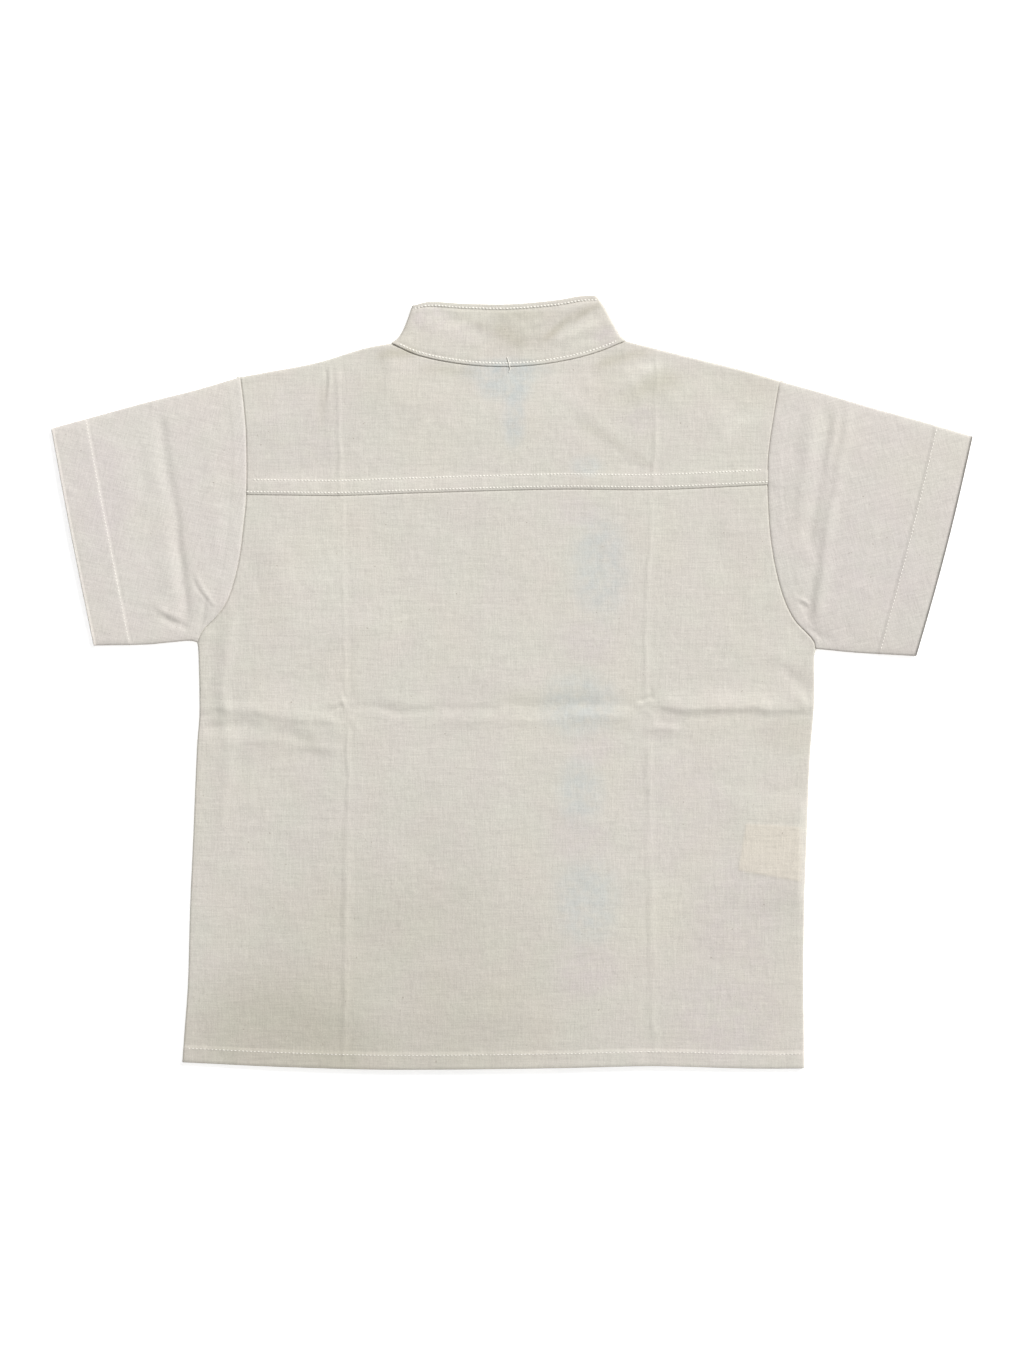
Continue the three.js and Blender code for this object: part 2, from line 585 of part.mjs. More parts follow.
// ---- sleeves ------------------------------------------------------------------------------------
// A flattened tube. Each ring runs from the top fold along the table, round the underarm seam and
// back on the upper side; it has its points where the body panels have theirs on the armhole.
function sleeveGeometry(sleeve) {
  const rows = [...YOKE_ROWS.slice(1).reverse(), ...[...BODY_ROWS].reverse()];
  const underarm = rows.findIndex((row) => row.name === "underarm");
  const armhole = edgePoints(
    sleeve.armhole,
    sleeve.rowSide,
    rows.slice(0, underarm + 1),
    sleeve.outward,
  );
  const share = armhole.map(
    (p) => (armhole[0].y - p.y) / (armhole[0].y - armhole.at(-1).y),
  );
  const cuffTop = sleeve.topEdge.at(-1);
  const cuffEnd = sleeve.underEdge.at(-1);
  const length = Math.abs((cuffTop.x + cuffEnd.x) / 2 - armhole[0].x);
  const step = HEM_STEP / length;
  const bandEnd = ARMHOLE_BAND / length;
  const hemStart = 1 - CUFF_BAND / length;
  const stations = [0, bandEnd, bandEnd + step, ...SLEEVE_STATIONS, hemStart - step, hemStart, 0.9, 1];
  const folds = SLEEVE_FOLDS[sleeve.name];
  const outer = [];
  const inner = [];
  for (const a of stations) {
    const cuff = clamp01((a - hemStart + step) / step);
    const wall = mix(WALL, HEM_WALL, cuff);
    const edgeHeight = EDGE_HEIGHT + HEM_RISE * cuff;
    const edgeAt = (edge) => {
      const x = mix(edge[0].x, edge.at(-1).x, a);
      return { x, y: follow(edge, "x", "y", x) };
    };
    const topPoint = edgeAt(sleeve.topEdge);
    const underPoint = edgeAt(sleeve.underEdge);
    const plan = share.map((b, k) => {
      const blend = (key) => {
        const straight = mix(armhole[k][key], mix(cuffTop[key], cuffEnd[key], b), a);
        const bow = key === "x" ? sleeve.outward * sleeve.cuffBow * a * Math.sin(Math.PI * b) : 0;
        const topError = topPoint[key] - mix(armhole[0][key], cuffTop[key], a);
        const underError = underPoint[key] - mix(armhole.at(-1)[key], cuffEnd[key], a);
        return straight + bow + a ** 0.25 * mix(topError, underError, b);
      };
      return new THREE.Vector2(blend("x"), blend("y"));
    });
    const last = plan.length - 1;
    const upperZ = (k) => {
      const b = share[k];
      const own = SLEEVE_ARCH * (4 * b * (1 - b)) ** 0.7;
      const asBack = backHeight(armhole[k].x, armhole[k].y) - EDGE_HEIGHT;
      const band = ARMHOLE_BAND_RISE * clamp01(1 - (a - bandEnd) / step);
      return (
        edgeHeight +
        mix(asBack, own, smooth(a / 0.25)) +
        band +
        foldHeight(folds, plan[k].x, plan[k].y)
      );
    };
    const outerRing = [];
    const innerRing = [];
    const put = (p, outerZ, innerZ) => {
      outerRing.push(new THREE.Vector3(p.x, p.y, outerZ));
      innerRing.push(new THREE.Vector3(p.x, p.y, innerZ));
    };
    // Rounded edge at one end of the ring, from below (turn = -1) or from above (turn = 1).
    const putArc = (end, next, turn) => {
      const inward = next.clone().sub(end).normalize();
      const radius = edgeHeight / 2;
      for (let k = 0; k <= ARC_STEPS; k++) {
        const angle = turn * Math.PI * (k / ARC_STEPS - 0.5);
        const at = (r) => end.clone().addScaledVector(inward, radius - r * Math.cos(angle));
        const rise = (r) => radius + r * Math.sin(angle);
        const o = at(radius);
        const i = at(radius - wall);
        outerRing.push(new THREE.Vector3(o.x, o.y, rise(radius)));
        innerRing.push(new THREE.Vector3(i.x, i.y, rise(radius - wall)));
      }
    };
    for (let k = 1; k < last; k++) put(plan[k], 0, wall);
    putArc(plan[last], plan[last - 1], 1);
    for (let k = last - 1; k > 0; k--) put(plan[k], upperZ(k), upperZ(k) - wall);
    putArc(plan[0], plan[1], -1);
    outer.push(outerRing);
    inner.push(innerRing);
  }
  return wallGeometry(outer, inner, true);
}

// ---- collar -------------------------------------------------------------------------------------
// One strip: left front band on the table, left fold, back band on top, right fold, right band.
function collarGeometry() {
  const half = COLLAR_WALL / 2;
  const fold = (up, side) => {
    const row = COLLAR_FOLD.find((r) => r.up === up);
    return side < 0 ? { x: row.leftX, y: row.leftY } : { x: row.rightX, y: row.rightY };
  };
  // Centre of the fold's round, a little inside its outline.
  const turnPoint = (up, side, radius) => {
    const f = fold(up, side);
    return { x: f.x - side * (radius + half), y: f.y - 0.9 * (1 - up) ** 2 };
  };
  const frontSeam = (side, t, to) => {
    const x = mix(CENTRE_X + side * COLLAR_END.seamX, to.x, t);
    return { x, y: mix(frontNeckY(x) + 2 * SEAM_HALF_GAP, to.y, t ** 4) };
  };
  const frontTop = (side, t, to) => ({
    x: mix(CENTRE_X + side * COLLAR_END.topX, to.x, t),
    y: mix(COLLAR_END.topY, to.y, t),
  });
  const outer = [];
  const inner = [];
  for (const { up } of COLLAR_FOLD) {
    const backZ = COLLAR_WALL + GAP + COLLAR_SEAM_LIFT * (1 - up) + half;
    const radius = (backZ - half) / 2;
    const outerLine = [];
    const innerLine = [];
    const put = (x, y, z, nx, nz) => {
      outerLine.push(new THREE.Vector3(x + half * nx, y, z + half * nz));
      innerLine.push(new THREE.Vector3(x - half * nx, y, z - half * nz));
    };
    const putFront = (side, t) => {
      const here = turnPoint(up, side, radius);
      const seam = frontSeam(side, t, turnPoint(0, side, radius));
      const top = frontTop(side, t, turnPoint(1, side, radius));
      const error = here.y - mix(turnPoint(0, side, radius).y, turnPoint(1, side, radius).y, up);
      const errorX = here.x - mix(turnPoint(0, side, radius).x, turnPoint(1, side, radius).x, up);
      put(mix(seam.x, top.x, up) + t * errorX, mix(seam.y, top.y, up) + t * error, half, 0, -1);
    };
    const putFold = (side, from, to) => {
      const centre = turnPoint(up, side, radius);
      const edge = fold(up, side);
      for (let k = 1; k < ARC_STEPS; k++) {
        const angle = Math.PI * (mix(from, to, k / ARC_STEPS) - 0.5);
        const out = Math.cos(angle);
        const y = mix(centre.y, edge.y, out);
        const z = half + radius + radius * Math.sin(angle);
        put(centre.x + side * radius * out, y, z, side * out, Math.sin(angle));
      }
    };
    const backY = (t) => {
      const seamX = mix(turnPoint(0, -1, radius).x, turnPoint(0, 1, radius).x, t);
      const topX = mix(turnPoint(1, -1, radius).x, turnPoint(1, 1, radius).x, t);
      const seam = follow(BACK_NECK, "x", "y", seamX) + SEAM_HALF_GAP;
      return mix(seam, follow(COLLAR_TOP, "x", "y", topX), up);
    };
    const leftTurn = turnPoint(up, -1, radius);
    const rightTurn = turnPoint(up, 1, radius);
    const leftError = leftTurn.y - backY(0);
    const rightError = rightTurn.y - backY(1);
    const putBack = (t) => {
      const y = backY(t) + (1 - t) ** 3 * leftError + t ** 3 * rightError;
      put(mix(leftTurn.x, rightTurn.x, t), y, backZ, 0, 1);
    };
    for (const t of COLLAR_FRONT_STATIONS) putFront(-1, t);
    putFold(-1, 0, 1);
    for (const t of COLLAR_BACK_STATIONS) putBack(t);
    putFold(1, 1, 0);
    for (const t of [...COLLAR_FRONT_STATIONS].reverse()) putFront(1, t);
    outer.push(outerLine);
    inner.push(innerLine);
  }
  return wallGeometry(outer, inner, false);
}

// ---- small pieces -------------------------------------------------------------------------------
function careLabelGeometry() {
  const low = WALL + GAP;
  const grid = (z) => [
    [CARE_LABEL[0], CARE_LABEL[1]].map((p) => new THREE.Vector3(p.x, p.y, z)),
    [CARE_LABEL[3], CARE_LABEL[2]].map((p) => new THREE.Vector3(p.x, p.y, z)),
  ];
  return wallGeometry(grid(low + LABEL_WALL), grid(low), false);
}

// A disc with four holes, its corners worked out round circles.
function buttonGeometry() {
  const circle = (cx, cy, radius, corners) =>
    Array.from({ length: corners }, (_, k) => {
      const angle = (2 * Math.PI * k) / corners;
      return new THREE.Vector2(cx + radius * Math.cos(angle), cy + radius * Math.sin(angle));
    });
  const disc = new THREE.Shape(circle(0, 0, BUTTON_RADIUS, 24));
  for (const sx of [-1, 1]) {
    for (const sy of [-1, 1]) {
      const hole = circle(sx * BUTTON_HOLE_OFFSET, sy * BUTTON_HOLE_OFFSET, BUTTON_HOLE_RADIUS, 8);
      disc.holes.push(new THREE.Path(hole));
    }
  }
  return new THREE.ExtrudeGeometry(disc, { depth: BUTTON_THICKNESS, bevelEnabled: false });
}

// ---- materials and assembly ---------------------------------------------------------------------
const material = (color, roughness) =>
  new THREE.MeshStandardMaterial({ color, roughness, metalness: 0 });
const COTTON = material(0xd8d4c8, 0.92);
const COTTON_SLEEVE = material(0xdbd6cf, 0.92);
const LABEL_CLOTH = material(0xe4dfcf, 0.9);
const SHELL_BUTTON = material(0xe9e4d8, 0.35);

const shirt = new THREE.Group();

function addPiece(name, geometry, itsMaterial) {
  const mesh = new THREE.Mesh(geometry, itsMaterial);
  mesh.name = name;
  shirt.add(mesh);
  return mesh;
}

addPiece("front_left", frontGeometry(-1), COTTON);
addPiece("front_right", frontGeometry(1), COTTON);
addPiece("back_panel", backPanelGeometry(), COTTON);
addPiece("back_yoke", yokeGeometry(), COTTON);
for (const sleeve of [SLEEVE_LEFT, SLEEVE_RIGHT]) {
  addPiece(sleeve.name, sleeveGeometry(sleeve), COTTON_SLEEVE);
}
addPiece("collar", collarGeometry(), COTTON);
addPiece("care_label", careLabelGeometry(), LABEL_CLOTH);
for (let k = 0; k < BUTTON_COUNT; k++) {
  const button = addPiece(`button_${k + 1}`, buttonGeometry(), SHELL_BUTTON);
  button.position.set(CENTRE_X, BUTTON_TOP_Y - k * BUTTON_PITCH, 0);
}

// The outline's box is centred on the origin.
const box = new THREE.Box3().setFromObject(shirt);
const middle = box.getCenter(new THREE.Vector3());
shirt.position.set(-middle.x, -middle.y, -box.min.z);

export default shirt;
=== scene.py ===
"""A small child's raw-cotton shirt with a stand collar, laid flat on its front and seen from behind.

The tables are in millimetres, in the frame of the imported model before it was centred; meshes are
made in metres. The collar points along +Y, the wearer's left is at -X and the table is z = 0.
"""

import logging
import math
from dataclasses import dataclass, field
from enum import Enum

import bpy
import numpy as np
from mathutils import Matrix, Vector


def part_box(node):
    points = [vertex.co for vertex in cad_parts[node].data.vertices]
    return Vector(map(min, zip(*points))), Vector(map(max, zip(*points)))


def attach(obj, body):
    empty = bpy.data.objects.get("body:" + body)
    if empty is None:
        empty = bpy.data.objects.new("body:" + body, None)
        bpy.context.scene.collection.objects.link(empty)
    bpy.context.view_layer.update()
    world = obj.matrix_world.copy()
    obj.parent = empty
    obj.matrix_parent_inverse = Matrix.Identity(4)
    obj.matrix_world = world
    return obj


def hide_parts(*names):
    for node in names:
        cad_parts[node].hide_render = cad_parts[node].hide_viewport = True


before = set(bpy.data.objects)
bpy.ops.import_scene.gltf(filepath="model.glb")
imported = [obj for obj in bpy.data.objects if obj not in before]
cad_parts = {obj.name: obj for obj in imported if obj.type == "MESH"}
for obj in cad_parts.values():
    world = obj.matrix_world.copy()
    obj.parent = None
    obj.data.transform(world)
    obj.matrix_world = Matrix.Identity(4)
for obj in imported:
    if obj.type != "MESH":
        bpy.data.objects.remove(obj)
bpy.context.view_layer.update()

LOG = logging.getLogger("shirt")
Array = np.ndarray
Piece = bpy.types.Object
Socket = bpy.types.NodeSocket
MM = 0.001


class Curve:
    """A smooth cubic line through the rows of a short table."""

    def __init__(self, *rows: tuple[float, float]) -> None:
        """Keep the rows, sorted by their first column.

        Args:
            rows: pairs of (key, value).
        """
        ordered = sorted(rows)
        self.keys = np.array([r[0] for r in ordered], float)
        self.values = np.array([r[1] for r in ordered], float)
        last = len(ordered) - 1
        before = np.maximum(np.arange(last + 1) - 1, 0)
        after = np.minimum(np.arange(last + 1) + 1, last)
        run = self.keys[after] - self.keys[before]
        self.slopes = (self.values[after] - self.values[before]) / run

    def __call__(self, at: Array | float) -> Array:
        """Read the line.

        Args:
            at: keys, held inside the table.

        Returns:
            The values there.
        """
        at = np.clip(np.asarray(at, float), self.keys[0], self.keys[-1])
        i = np.clip(np.searchsorted(self.keys, at, side="right") - 1, 0, len(self.keys) - 2)
        step = self.keys[i + 1] - self.keys[i]
        t = (at - self.keys[i]) / step
        t2, t3 = t * t, t * t * t
        return (
            (2 * t3 - 3 * t2 + 1) * self.values[i]
            + (t3 - 2 * t2 + t) * step * self.slopes[i]
            + (3 * t2 - 2 * t3) * self.values[i + 1]
            + (t3 - t2) * step * self.slopes[i + 1]
        )


@dataclass(frozen=True)
class Fold:
    """One soft ridge (height > 0) or trough (height < 0) along a slightly bowed line.

    upper and lower are its reach on the side of the collar and on the side of the hem; for an
    upright line they are its reach to the right and to the left.
    """

    x1: float
    y1: float
    x2: float
    y2: float
    height: float
    upper: float
    lower: float
    bow: float = 0.0


class Side(Enum):
    """The wearer's sides; the value is the sign of x."""

    LEFT = -1
    RIGHT = 1

    @property
    def column(self) -> int:
        """Its place in a (left, right) pair."""
        return (self.value + 1) // 2


# ---- outlines (sides as (y, x), the others as (x, y))
SIDE_LEFT = Curve(
    (-197.3, -171.1), (-182.3, -170.0), (-157.3, -168.2), (-115.7, -167.0), (-82.4, -165.5),
    (-32.5, -163.4), (-15.9, -162.2), (17.4, -162.8), (20.4, -163.2), (26.9, -160.1),
    (33.3, -153.7), (40.5, -148.5), (50.8, -144.6), (65.1, -141.3), (81.9, -139.2),
    (97.4, -137.8), (127.1, -137.9), (143.9, -139.2), (158.4, -141.0),
)
SIDE_RIGHT = Curve(
    (-200.5, 152.1), (-182.3, 152.0), (-157.3, 151.8), (-115.7, 152.2), (-82.4, 153.4),
    (-40.8, 155.0), (-9.6, 157.4), (14.4, 157.4), (17.0, 158.2), (22.0, 156.4),
    (31.8, 147.3), (42.4, 141.9), (55.6, 138.0), (71.6, 135.0), (87.5, 133.6),
    (102.5, 133.1), (119.3, 133.6), (144.5, 137.3), (156.3, 139.4),
)
# Pairs of heights (left, right) that the back, the fronts and the sleeves share on their edges.
BODY_ROWS = (
    (-197.3, -200.5), (-189.9, -193.1), (-188.6, -191.8), (-176, -176), (-155, -155),
    (-134, -134), (-117, -117), (-106, -107), (-90, -90), (-72, -72), (-58, -58), (-42, -42),
    (-30, -26), (-23, -18.5), (-15.3, -13.3), (-9, -8), (3, 3), (20.4, 17.0), (23.4, 20.2),
    (27.4, 24.6), (33.3, 31.8), (41.0, 42.4), (52.0, 55.6), (66.0, 71.6), (81.9, 87.5),
    (97.4, 102.5),
)
YOKE_ROWS = (
    (97.4, 102.5), (105.2, 110.3), (106.2, 111.3), (119, 122), (133, 134), (146, 145.5),
    (158.4, 156.3),
)
UNDERARM_ROW = (20.4, 17.0)
HEM_LINE = Curve(
    (-171.1, -197.3), (-120, -199.6), (-63.4, -201.0), (25, -200.2), (73.8, -199.2),
    (123.8, -200.5), (152.1, -200.5),
)
YOKE_SEAM = Curve(
    (-137.8, 97.4), (-94.1, 96.8), (-85.3, 96.9), (-48.2, 98.2), (25, 100.1), (74.3, 99.9),
    (133.1, 102.5),
)
NECK_LEFT, NECK_RIGHT = -62.6, 58.8
SHOULDER_LEFT = Curve(
    (-141, 158.4), (-125.8, 161.1), (-100.9, 165.9), (-75.9, 173.4), (-62.6, 175.9)
)
SHOULDER_RIGHT = Curve((58.8, 177.2), (73.8, 173.4), (98.8, 167.2), (123.8, 160.9), (139.4, 156.3))
LEFT_TOP = Curve((-141.0, 158.4), (-163.3, 151.7), (-188.2, 145.7), (-213.2, 138.9), (-238.9, 131.8))
LEFT_UNDER = Curve((-163.2, 20.4), (-166.0, 22.4), (-175.8, 20.9), (-188.2, 19.4), (-216.8, 18.8))
RIGHT_TOP = Curve((139.4, 156.3), (161.2, 150.4), (186.2, 142.8), (211.1, 136.0), (239.4, 127.6))
RIGHT_UNDER = Curve((158.2, 17.0), (163.0, 16.5), (173.7, 15.4), (186.2, 14.6), (210.1, 13.3))
BACK_NECK = Curve(
    (-62.6, 175.9), (-48.9, 169.8), (-28.9, 165.6), (-8.9, 163.9), (10.9, 164.6), (30.7, 167.7),
    (45.8, 171.9), (58.8, 177.2),
)
FRONT_NECK = Curve(
    (-62.6, 175.9), (-50, 168.7), (-38, 161.9), (-26, 155.6), (-16, 151.2), (-4.7, 149.2),
    (6.6, 151.4), (17, 156.0), (30, 162.8), (44, 170.2), (58.8, 177.2),
)
COLLAR_TOP = Curve(
    (-51.7, 195.4), (-43, 197.3), (-26, 196.3), (-1, 195.8), (24, 197.9), (36, 199.9), (44.4, 200.2)
)
# Folded ends of the collar from the neck seam (0) to its top edge (1), as (up, x) and (up, y).
COLLAR_FOLD_X = {
    Side.LEFT: Curve((0, -62.3), (0.12, -59.4), (0.3, -57.0), (0.5, -55.2), (0.75, -53.4), (1, -51.7)),
    Side.RIGHT: Curve((0, 59.2), (0.12, 56.9), (0.3, 54.6), (0.5, 51.9), (0.75, 48.7), (1, 44.4)),
}
COLLAR_FOLD_Y = {
    Side.LEFT: Curve((0, 176.3), (0.12, 178.4), (0.3, 181.6), (0.5, 185.4), (0.75, 190.3), (1, 195.4)),
    Side.RIGHT: Curve((0, 177.6), (0.12, 179.8), (0.3, 183.4), (0.5, 188.2), (0.75, 194.2), (1, 200.3)),
}
CARE_LABEL = ((119.1, -100.4), (149.6, -104.3), (150.6, -75.1), (120.6, -73.1))


# ---- creases and folds
def folds(*rows: tuple[float, ...]) -> tuple[Fold, ...]:
    """Make folds of rows of their numbers."""
    return tuple(Fold(*row) for row in rows)


BODY_FOLDS = folds(
    # pressed crease across the body, from its left side to its right
    (-161, -14.2, -131, -15.2, 0.50, 3.6, 3.2, 0.6),
    (-160, -24.4, -130, -23.4, -0.46, 3.0, 3.8, 0.9),
    (-148, -33.0, -128, -30.2, 0.22, 2.2, 2.6, 0.5),
    (-131, -15.6, -108, -19.0, 0.56, 4.2, 2.4, -0.9),
    (-110, -19.6, -92, -20.2, 0.40, 3.2, 2.2, 0.7),
    (-126, -26.0, -104, -31.6, -0.42, 3.2, 3.6, 1.0),
    (-106, -32.4, -90, -34.8, 0.30, 2.0, 2.6, -0.6),
    (-118, -37.4, -96, -39.6, -0.24, 3.0, 4.6, 0.8),
    (-82, -13.6, -60, -15.0, -0.36, 3.0, 2.6, 0.7),
    (-66, -9.4, -42, -12.6, 0.24, 4.0, 2.4, 0.5),
    (-62, -16.4, -42, -14.0, -0.34, 2.4, 2.6, -0.5),
    (-44, -13.9, -6, -13.3, -0.27, 2.2, 2.8, -0.4),
    (-43, -20.4, -6, -20.6, 0.22, 2.8, 2.8, 0.4),
    (-6, -12.4, 31, -13.0, -0.34, 3.6, 2.2, 0.4),
    (-6, -19.6, 30, -19.4, 0.30, 2.6, 3.8, -0.5),
    (30, -11.8, 66, -11.6, -0.38, 3.4, 2.0, 0.2),
    (30, -17.9, 66, -17.2, 0.48, 2.4, 4.2, -0.3),
    (77, -12.4, 108, -13.2, 0.86, 6.2, 2.7, -0.7),
    (104, -13.0, 134, -13.9, 0.80, 5.8, 2.6, 0.6),
    (130, -13.9, 157, -12.9, 0.70, 5.6, 2.6, -0.4),
    (84, -22.6, 120, -21.4, 0.16, 2.6, 3.6, 0.8),
    # its crossings with the upright creases
    (-93, -13.4, -86.6, -9.6, 0.34, 0.9, 1.1, 0.5),
    (-93.4, -17.4, -87.6, -12.4, -0.30, 1.0, 1.2, 0.6),
    (-88.6, -6.0, -86.4, -14.0, 0.24, 0.9, 1.2, -0.3),
    (-84, -18.4, -78, -26, 0.16, 2.0, 2.0),
    (66.6, -10.4, 73.0, -6.8, -0.46, 1.2, 1.4),
    (64.6, -13.8, 72.6, -9.6, 0.50, 1.3, 1.6, 0.5),
    (69.2, -13.2, 75.0, -23.6, 0.20, 1.6, 2.0, 0.6),
    (71.8, -3.4, 72.6, -6.6, -0.30, 1.2, 1.3),
    (71.0, -25.4, 86.0, -24.2, 0.36, 2.2, 1.4, 0.5),
    (72.0, -29.6, 96.0, -30.6, -0.24, 2.2, 3.8),
    (74.0, -20.6, 90.0, -22.6, -0.18, 1.8, 2.4, 0.6),
    # upright crease on the left
    (-94.8, 176, -91.6, 100, 0.12, 3.0, 2.2),
    (-93.6, 170, -91.6, 96, -0.10, 1.8, 1.6, 0.5),
    (-90.8, 172, -88.8, 96, 0.24, 1.0, 1.1, 0.4),
    (-87.4, 96, -87.0, 42, 0.11, 0.9, 0.8, -0.3),
    (-84.8, 96, -84.6, 42, -0.08, 1.8, 2.2, -0.3),
    (-87.0, 42, -86.4, -6, 0.14, 0.8, 0.9, 0.2),
    (-84.2, 42, -83.8, -6, -0.10, 1.6, 2.2, 0.3),
    (-85.2, -25, -85.0, -78, 0.22, 1.3, 0.9, 0.2),
    (-85.6, -78, -86.0, -136, 0.36, 2.2, 1.7, -0.3),
    (-86.2, -134, -87.4, -197, 0.28, 2.0, 1.5, 0.4),
    # upright crease on the right
    (75.0, 172, 73.6, 102, 0.24, 1.5, 1.1, 0.4),
    (72.4, 98, 70.2, 42, 0.22, 1.5, 1.2, 0.4),
    (70.2, 42, 69.6, -6, 0.26, 1.5, 1.3, -0.3),
    (70.8, -32, 71.2, -78, 0.28, 2.2, 2.0, 0.3),
    (71.2, -78, 72.6, -130, 0.28, 2.2, 2.0, 0.3),
    (72.8, -130, 74.0, -192, 0.20, 2.2, 1.8, -0.3),
    # edges of the button strip, pressed through from beneath
    (-15.4, 146, -14.2, -190, 0.11, 1.4, 2.2, 0.7),
    (-0.8, 140, -1.0, -186, -0.08, 2.0, 2.0, -0.6),
    # folds beside the side seams and below the armholes
    (-147.0, 44, -148.6, 8, 0.40, 3.4, 3.8, 1.2),
    (-148.6, 12, -147.0, -30, 0.46, 3.0, 3.6, -1.4),
    (-147.6, -26, -150.8, -78, 0.34, 3.6, 4.0, 1.6),
    (-154.6, 40, -153.8, -20, -0.16, 2.8, 2.6, -1.2),
    (-160.4, 22.0, -153.2, 27.0, 0.40, 1.4, 2.0, 0.4),
    (-160.2, 15.0, -152.6, 19.4, -0.30, 1.4, 1.8, 0.3),
    (-158.6, -9.0, -150.4, -3.4, 0.36, 1.6, 2.2, 0.5),
    (-160.2, -19.0, -151.0, -14.6, -0.34, 2.0, 2.2, 0.6),
    (-158.0, -36.0, -148.0, -24.0, 0.24, 2.4, 2.6, 0.6),
    (-153, 24, -140, 2, 0.18, 3.6, 4.0, 1.0),
    (139.0, 8.0, 157.0, -8.8, -0.56, 6.0, 3.4, 0.8),
    (137.0, 14.0, 150.0, 4.0, 0.34, 4.2, 3.8, 0.6),
    (146.0, -7.0, 157.0, -12.0, 0.34, 2.6, 2.6),
    (143.6, 30.0, 152.6, 18.0, -0.24, 3.0, 3.0, 0.6),
    # slack under the yoke and toward the hem
    (-126, 70, -112, 22, 0.20, 7.0, 6.0, 2.0),
    (-136, 64, -128, 30, -0.14, 4.0, 4.6, 1.2),
    (-60, 62, -46, 8, -0.16, 8.0, 7.0, -2.0),
    (-104, 52, -70, 47, 0.12, 3.0, 4.0, 1.4),
    (24, 82, 36, 28, 0.16, 7.0, 7.0, 1.5),
    (104, 78, 118, 30, -0.18, 7.0, 6.0, 1.6),
    (-140, -104, -112, -122, 0.18, 6.0, 7.0, 2.0),
    (-150, -62, -118, -84, -0.15, 5.0, 6.0, 1.6),
    (-58, -82, -28, -98, -0.16, 7.0, 7.0, -2.0),
    (92, -58, 128, -66, 0.18, 6.0, 7.0, 1.6),
    (-50, -150, 6, -158, 0.15, 6.0, 8.0, 2.2),
    (-140, -158, -96, -170, 0.16, 6.0, 7.0, 1.6),
    (96, -140, 130, -152, -0.16, 6.0, 6.0, -1.4),
)
YOKE_FOLDS = folds(
    (18, 154, 58, 122, 0.20, 3.4, 3.0, 2.4),
    (24, 147, 52, 120, -0.11, 3.4, 3.6, -1.8),
    (40, 160, 66, 138, -0.16, 3.0, 3.0, 1.8),
    (56, 164, 66, 148, 0.18, 2.8, 2.6, 0.8),
    (44, 154, 71, 167, -0.34, 2.2, 1.8, 1.2),
    (47, 150, 76, 163, 0.28, 2.0, 2.6, 1.0),
    (52, 147, 70, 152, -0.16, 2.2, 2.6, 0.8),
    (58, 113.5, 73, 111.6, -0.20, 1.6, 2.0, -0.8),
    (62, 166, 88, 140, 0.18, 3.0, 3.0, 1.2),
    (-58, 166, -70, 138, 0.26, 3.6, 3.0, -1.2),
    (-66, 164, -92, 132, -0.20, 4.0, 3.6, -1.6),
    (-96.4, 164.6, -97.2, 146, -0.28, 1.0, 1.2, 0.9),
    (-95.0, 163.0, -96.0, 147, 0.20, 0.9, 1.0, 0.8),
    (-99.0, 158.0, -96.8, 126, -0.12, 1.6, 1.8, -0.6),
    (-40, 156, -52, 118, 0.14, 6.0, 5.0, -2.0),
    (94, 160, 112, 122, 0.15, 6.0, 5.0, 1.6),
    (104, 150, 128, 132, -0.14, 4.0, 5.0, 1.2),
    (-120, 152, -104, 118, -0.15, 6.0, 5.0, 1.6),
)
SLEEVE_FOLDS = {
    Side.LEFT: folds(
        (-182.6, 138, -174.2, 87, -0.62, 2.6, 3.2, -1.0),
        (-174.2, 87, -168.0, 34, -0.72, 2.4, 3.2, -0.6),
        (-187.0, 120, -176.0, 46, 0.20, 5.0, 5.0, -1.0),
        (-163.2, 54.8, -153.6, 39.4, 0.44, 0.9, 2.4, -1.2),
        (-165.0, 54.0, -155.4, 38.6, -0.40, 0.9, 0.8, -1.2),
        (-158.4, 42.2, -162.8, 27.5, -0.50, 0.9, 1.3, 0.4),
        (-171.0, 53.2, -176.8, 47.0, -0.34, 0.9, 1.0, -0.5),
        (-182.0, 34.4, -166.0, 27.0, -0.56, 1.8, 2.2, -0.8),
        (-184.0, 39.0, -172.0, 33.0, 0.32, 2.2, 2.0, -0.8),
        (-206.0, 126, -199.0, 70, 0.15, 6.0, 6.0, 1.4),
        (-195.0, 128, -190.0, 96, -0.14, 3.0, 4.0, 1.0),
        (-156.5, 128, -150.5, 62, 0.15, 4.0, 4.0, -1.0),
    ),
    Side.RIGHT: folds(
        (157.0, 138, 147.6, 92, 0.52, 3.2, 4.2, 0.6),
        (150.4, 118, 144.6, 84, -0.30, 3.0, 3.0, 0.6),
        (164.4, 140, 154.0, 70, -0.52, 2.6, 3.6, 0.8),
        (169.0, 141, 164.0, 112, 0.44, 1.8, 1.8, 0.4),
        (175.4, 140, 166.0, 88, 0.48, 2.8, 2.4, 0.6),
        (165.0, 90, 158.0, 34, 0.66, 3.4, 2.6, 0.8),
        (158.6, 74, 152.8, 28, -0.40, 3.0, 3.8, 0.6),
        (148.4, 43.6, 154.4, 40.6, 0.44, 0.9, 1.2, 0.5),
        (148.6, 40.8, 153.6, 38.4, -0.26, 0.9, 1.2, 0.4),
        (156.4, 26.4, 162.0, 20.5, -0.66, 1.5, 1.4, 0.3),
        (184.0, 134, 176.0, 84, 0.18, 4.0, 4.6, -1.0),
        (206.0, 128, 194.0, 66, -0.15, 6.0, 6.0, 1.2),
        (150.4, 142, 146.0, 118, -0.22, 2.6, 2.6),
        (189.0, 64, 178.0, 28, 0.16, 4.0, 5.0, 0.8),
    ),
}
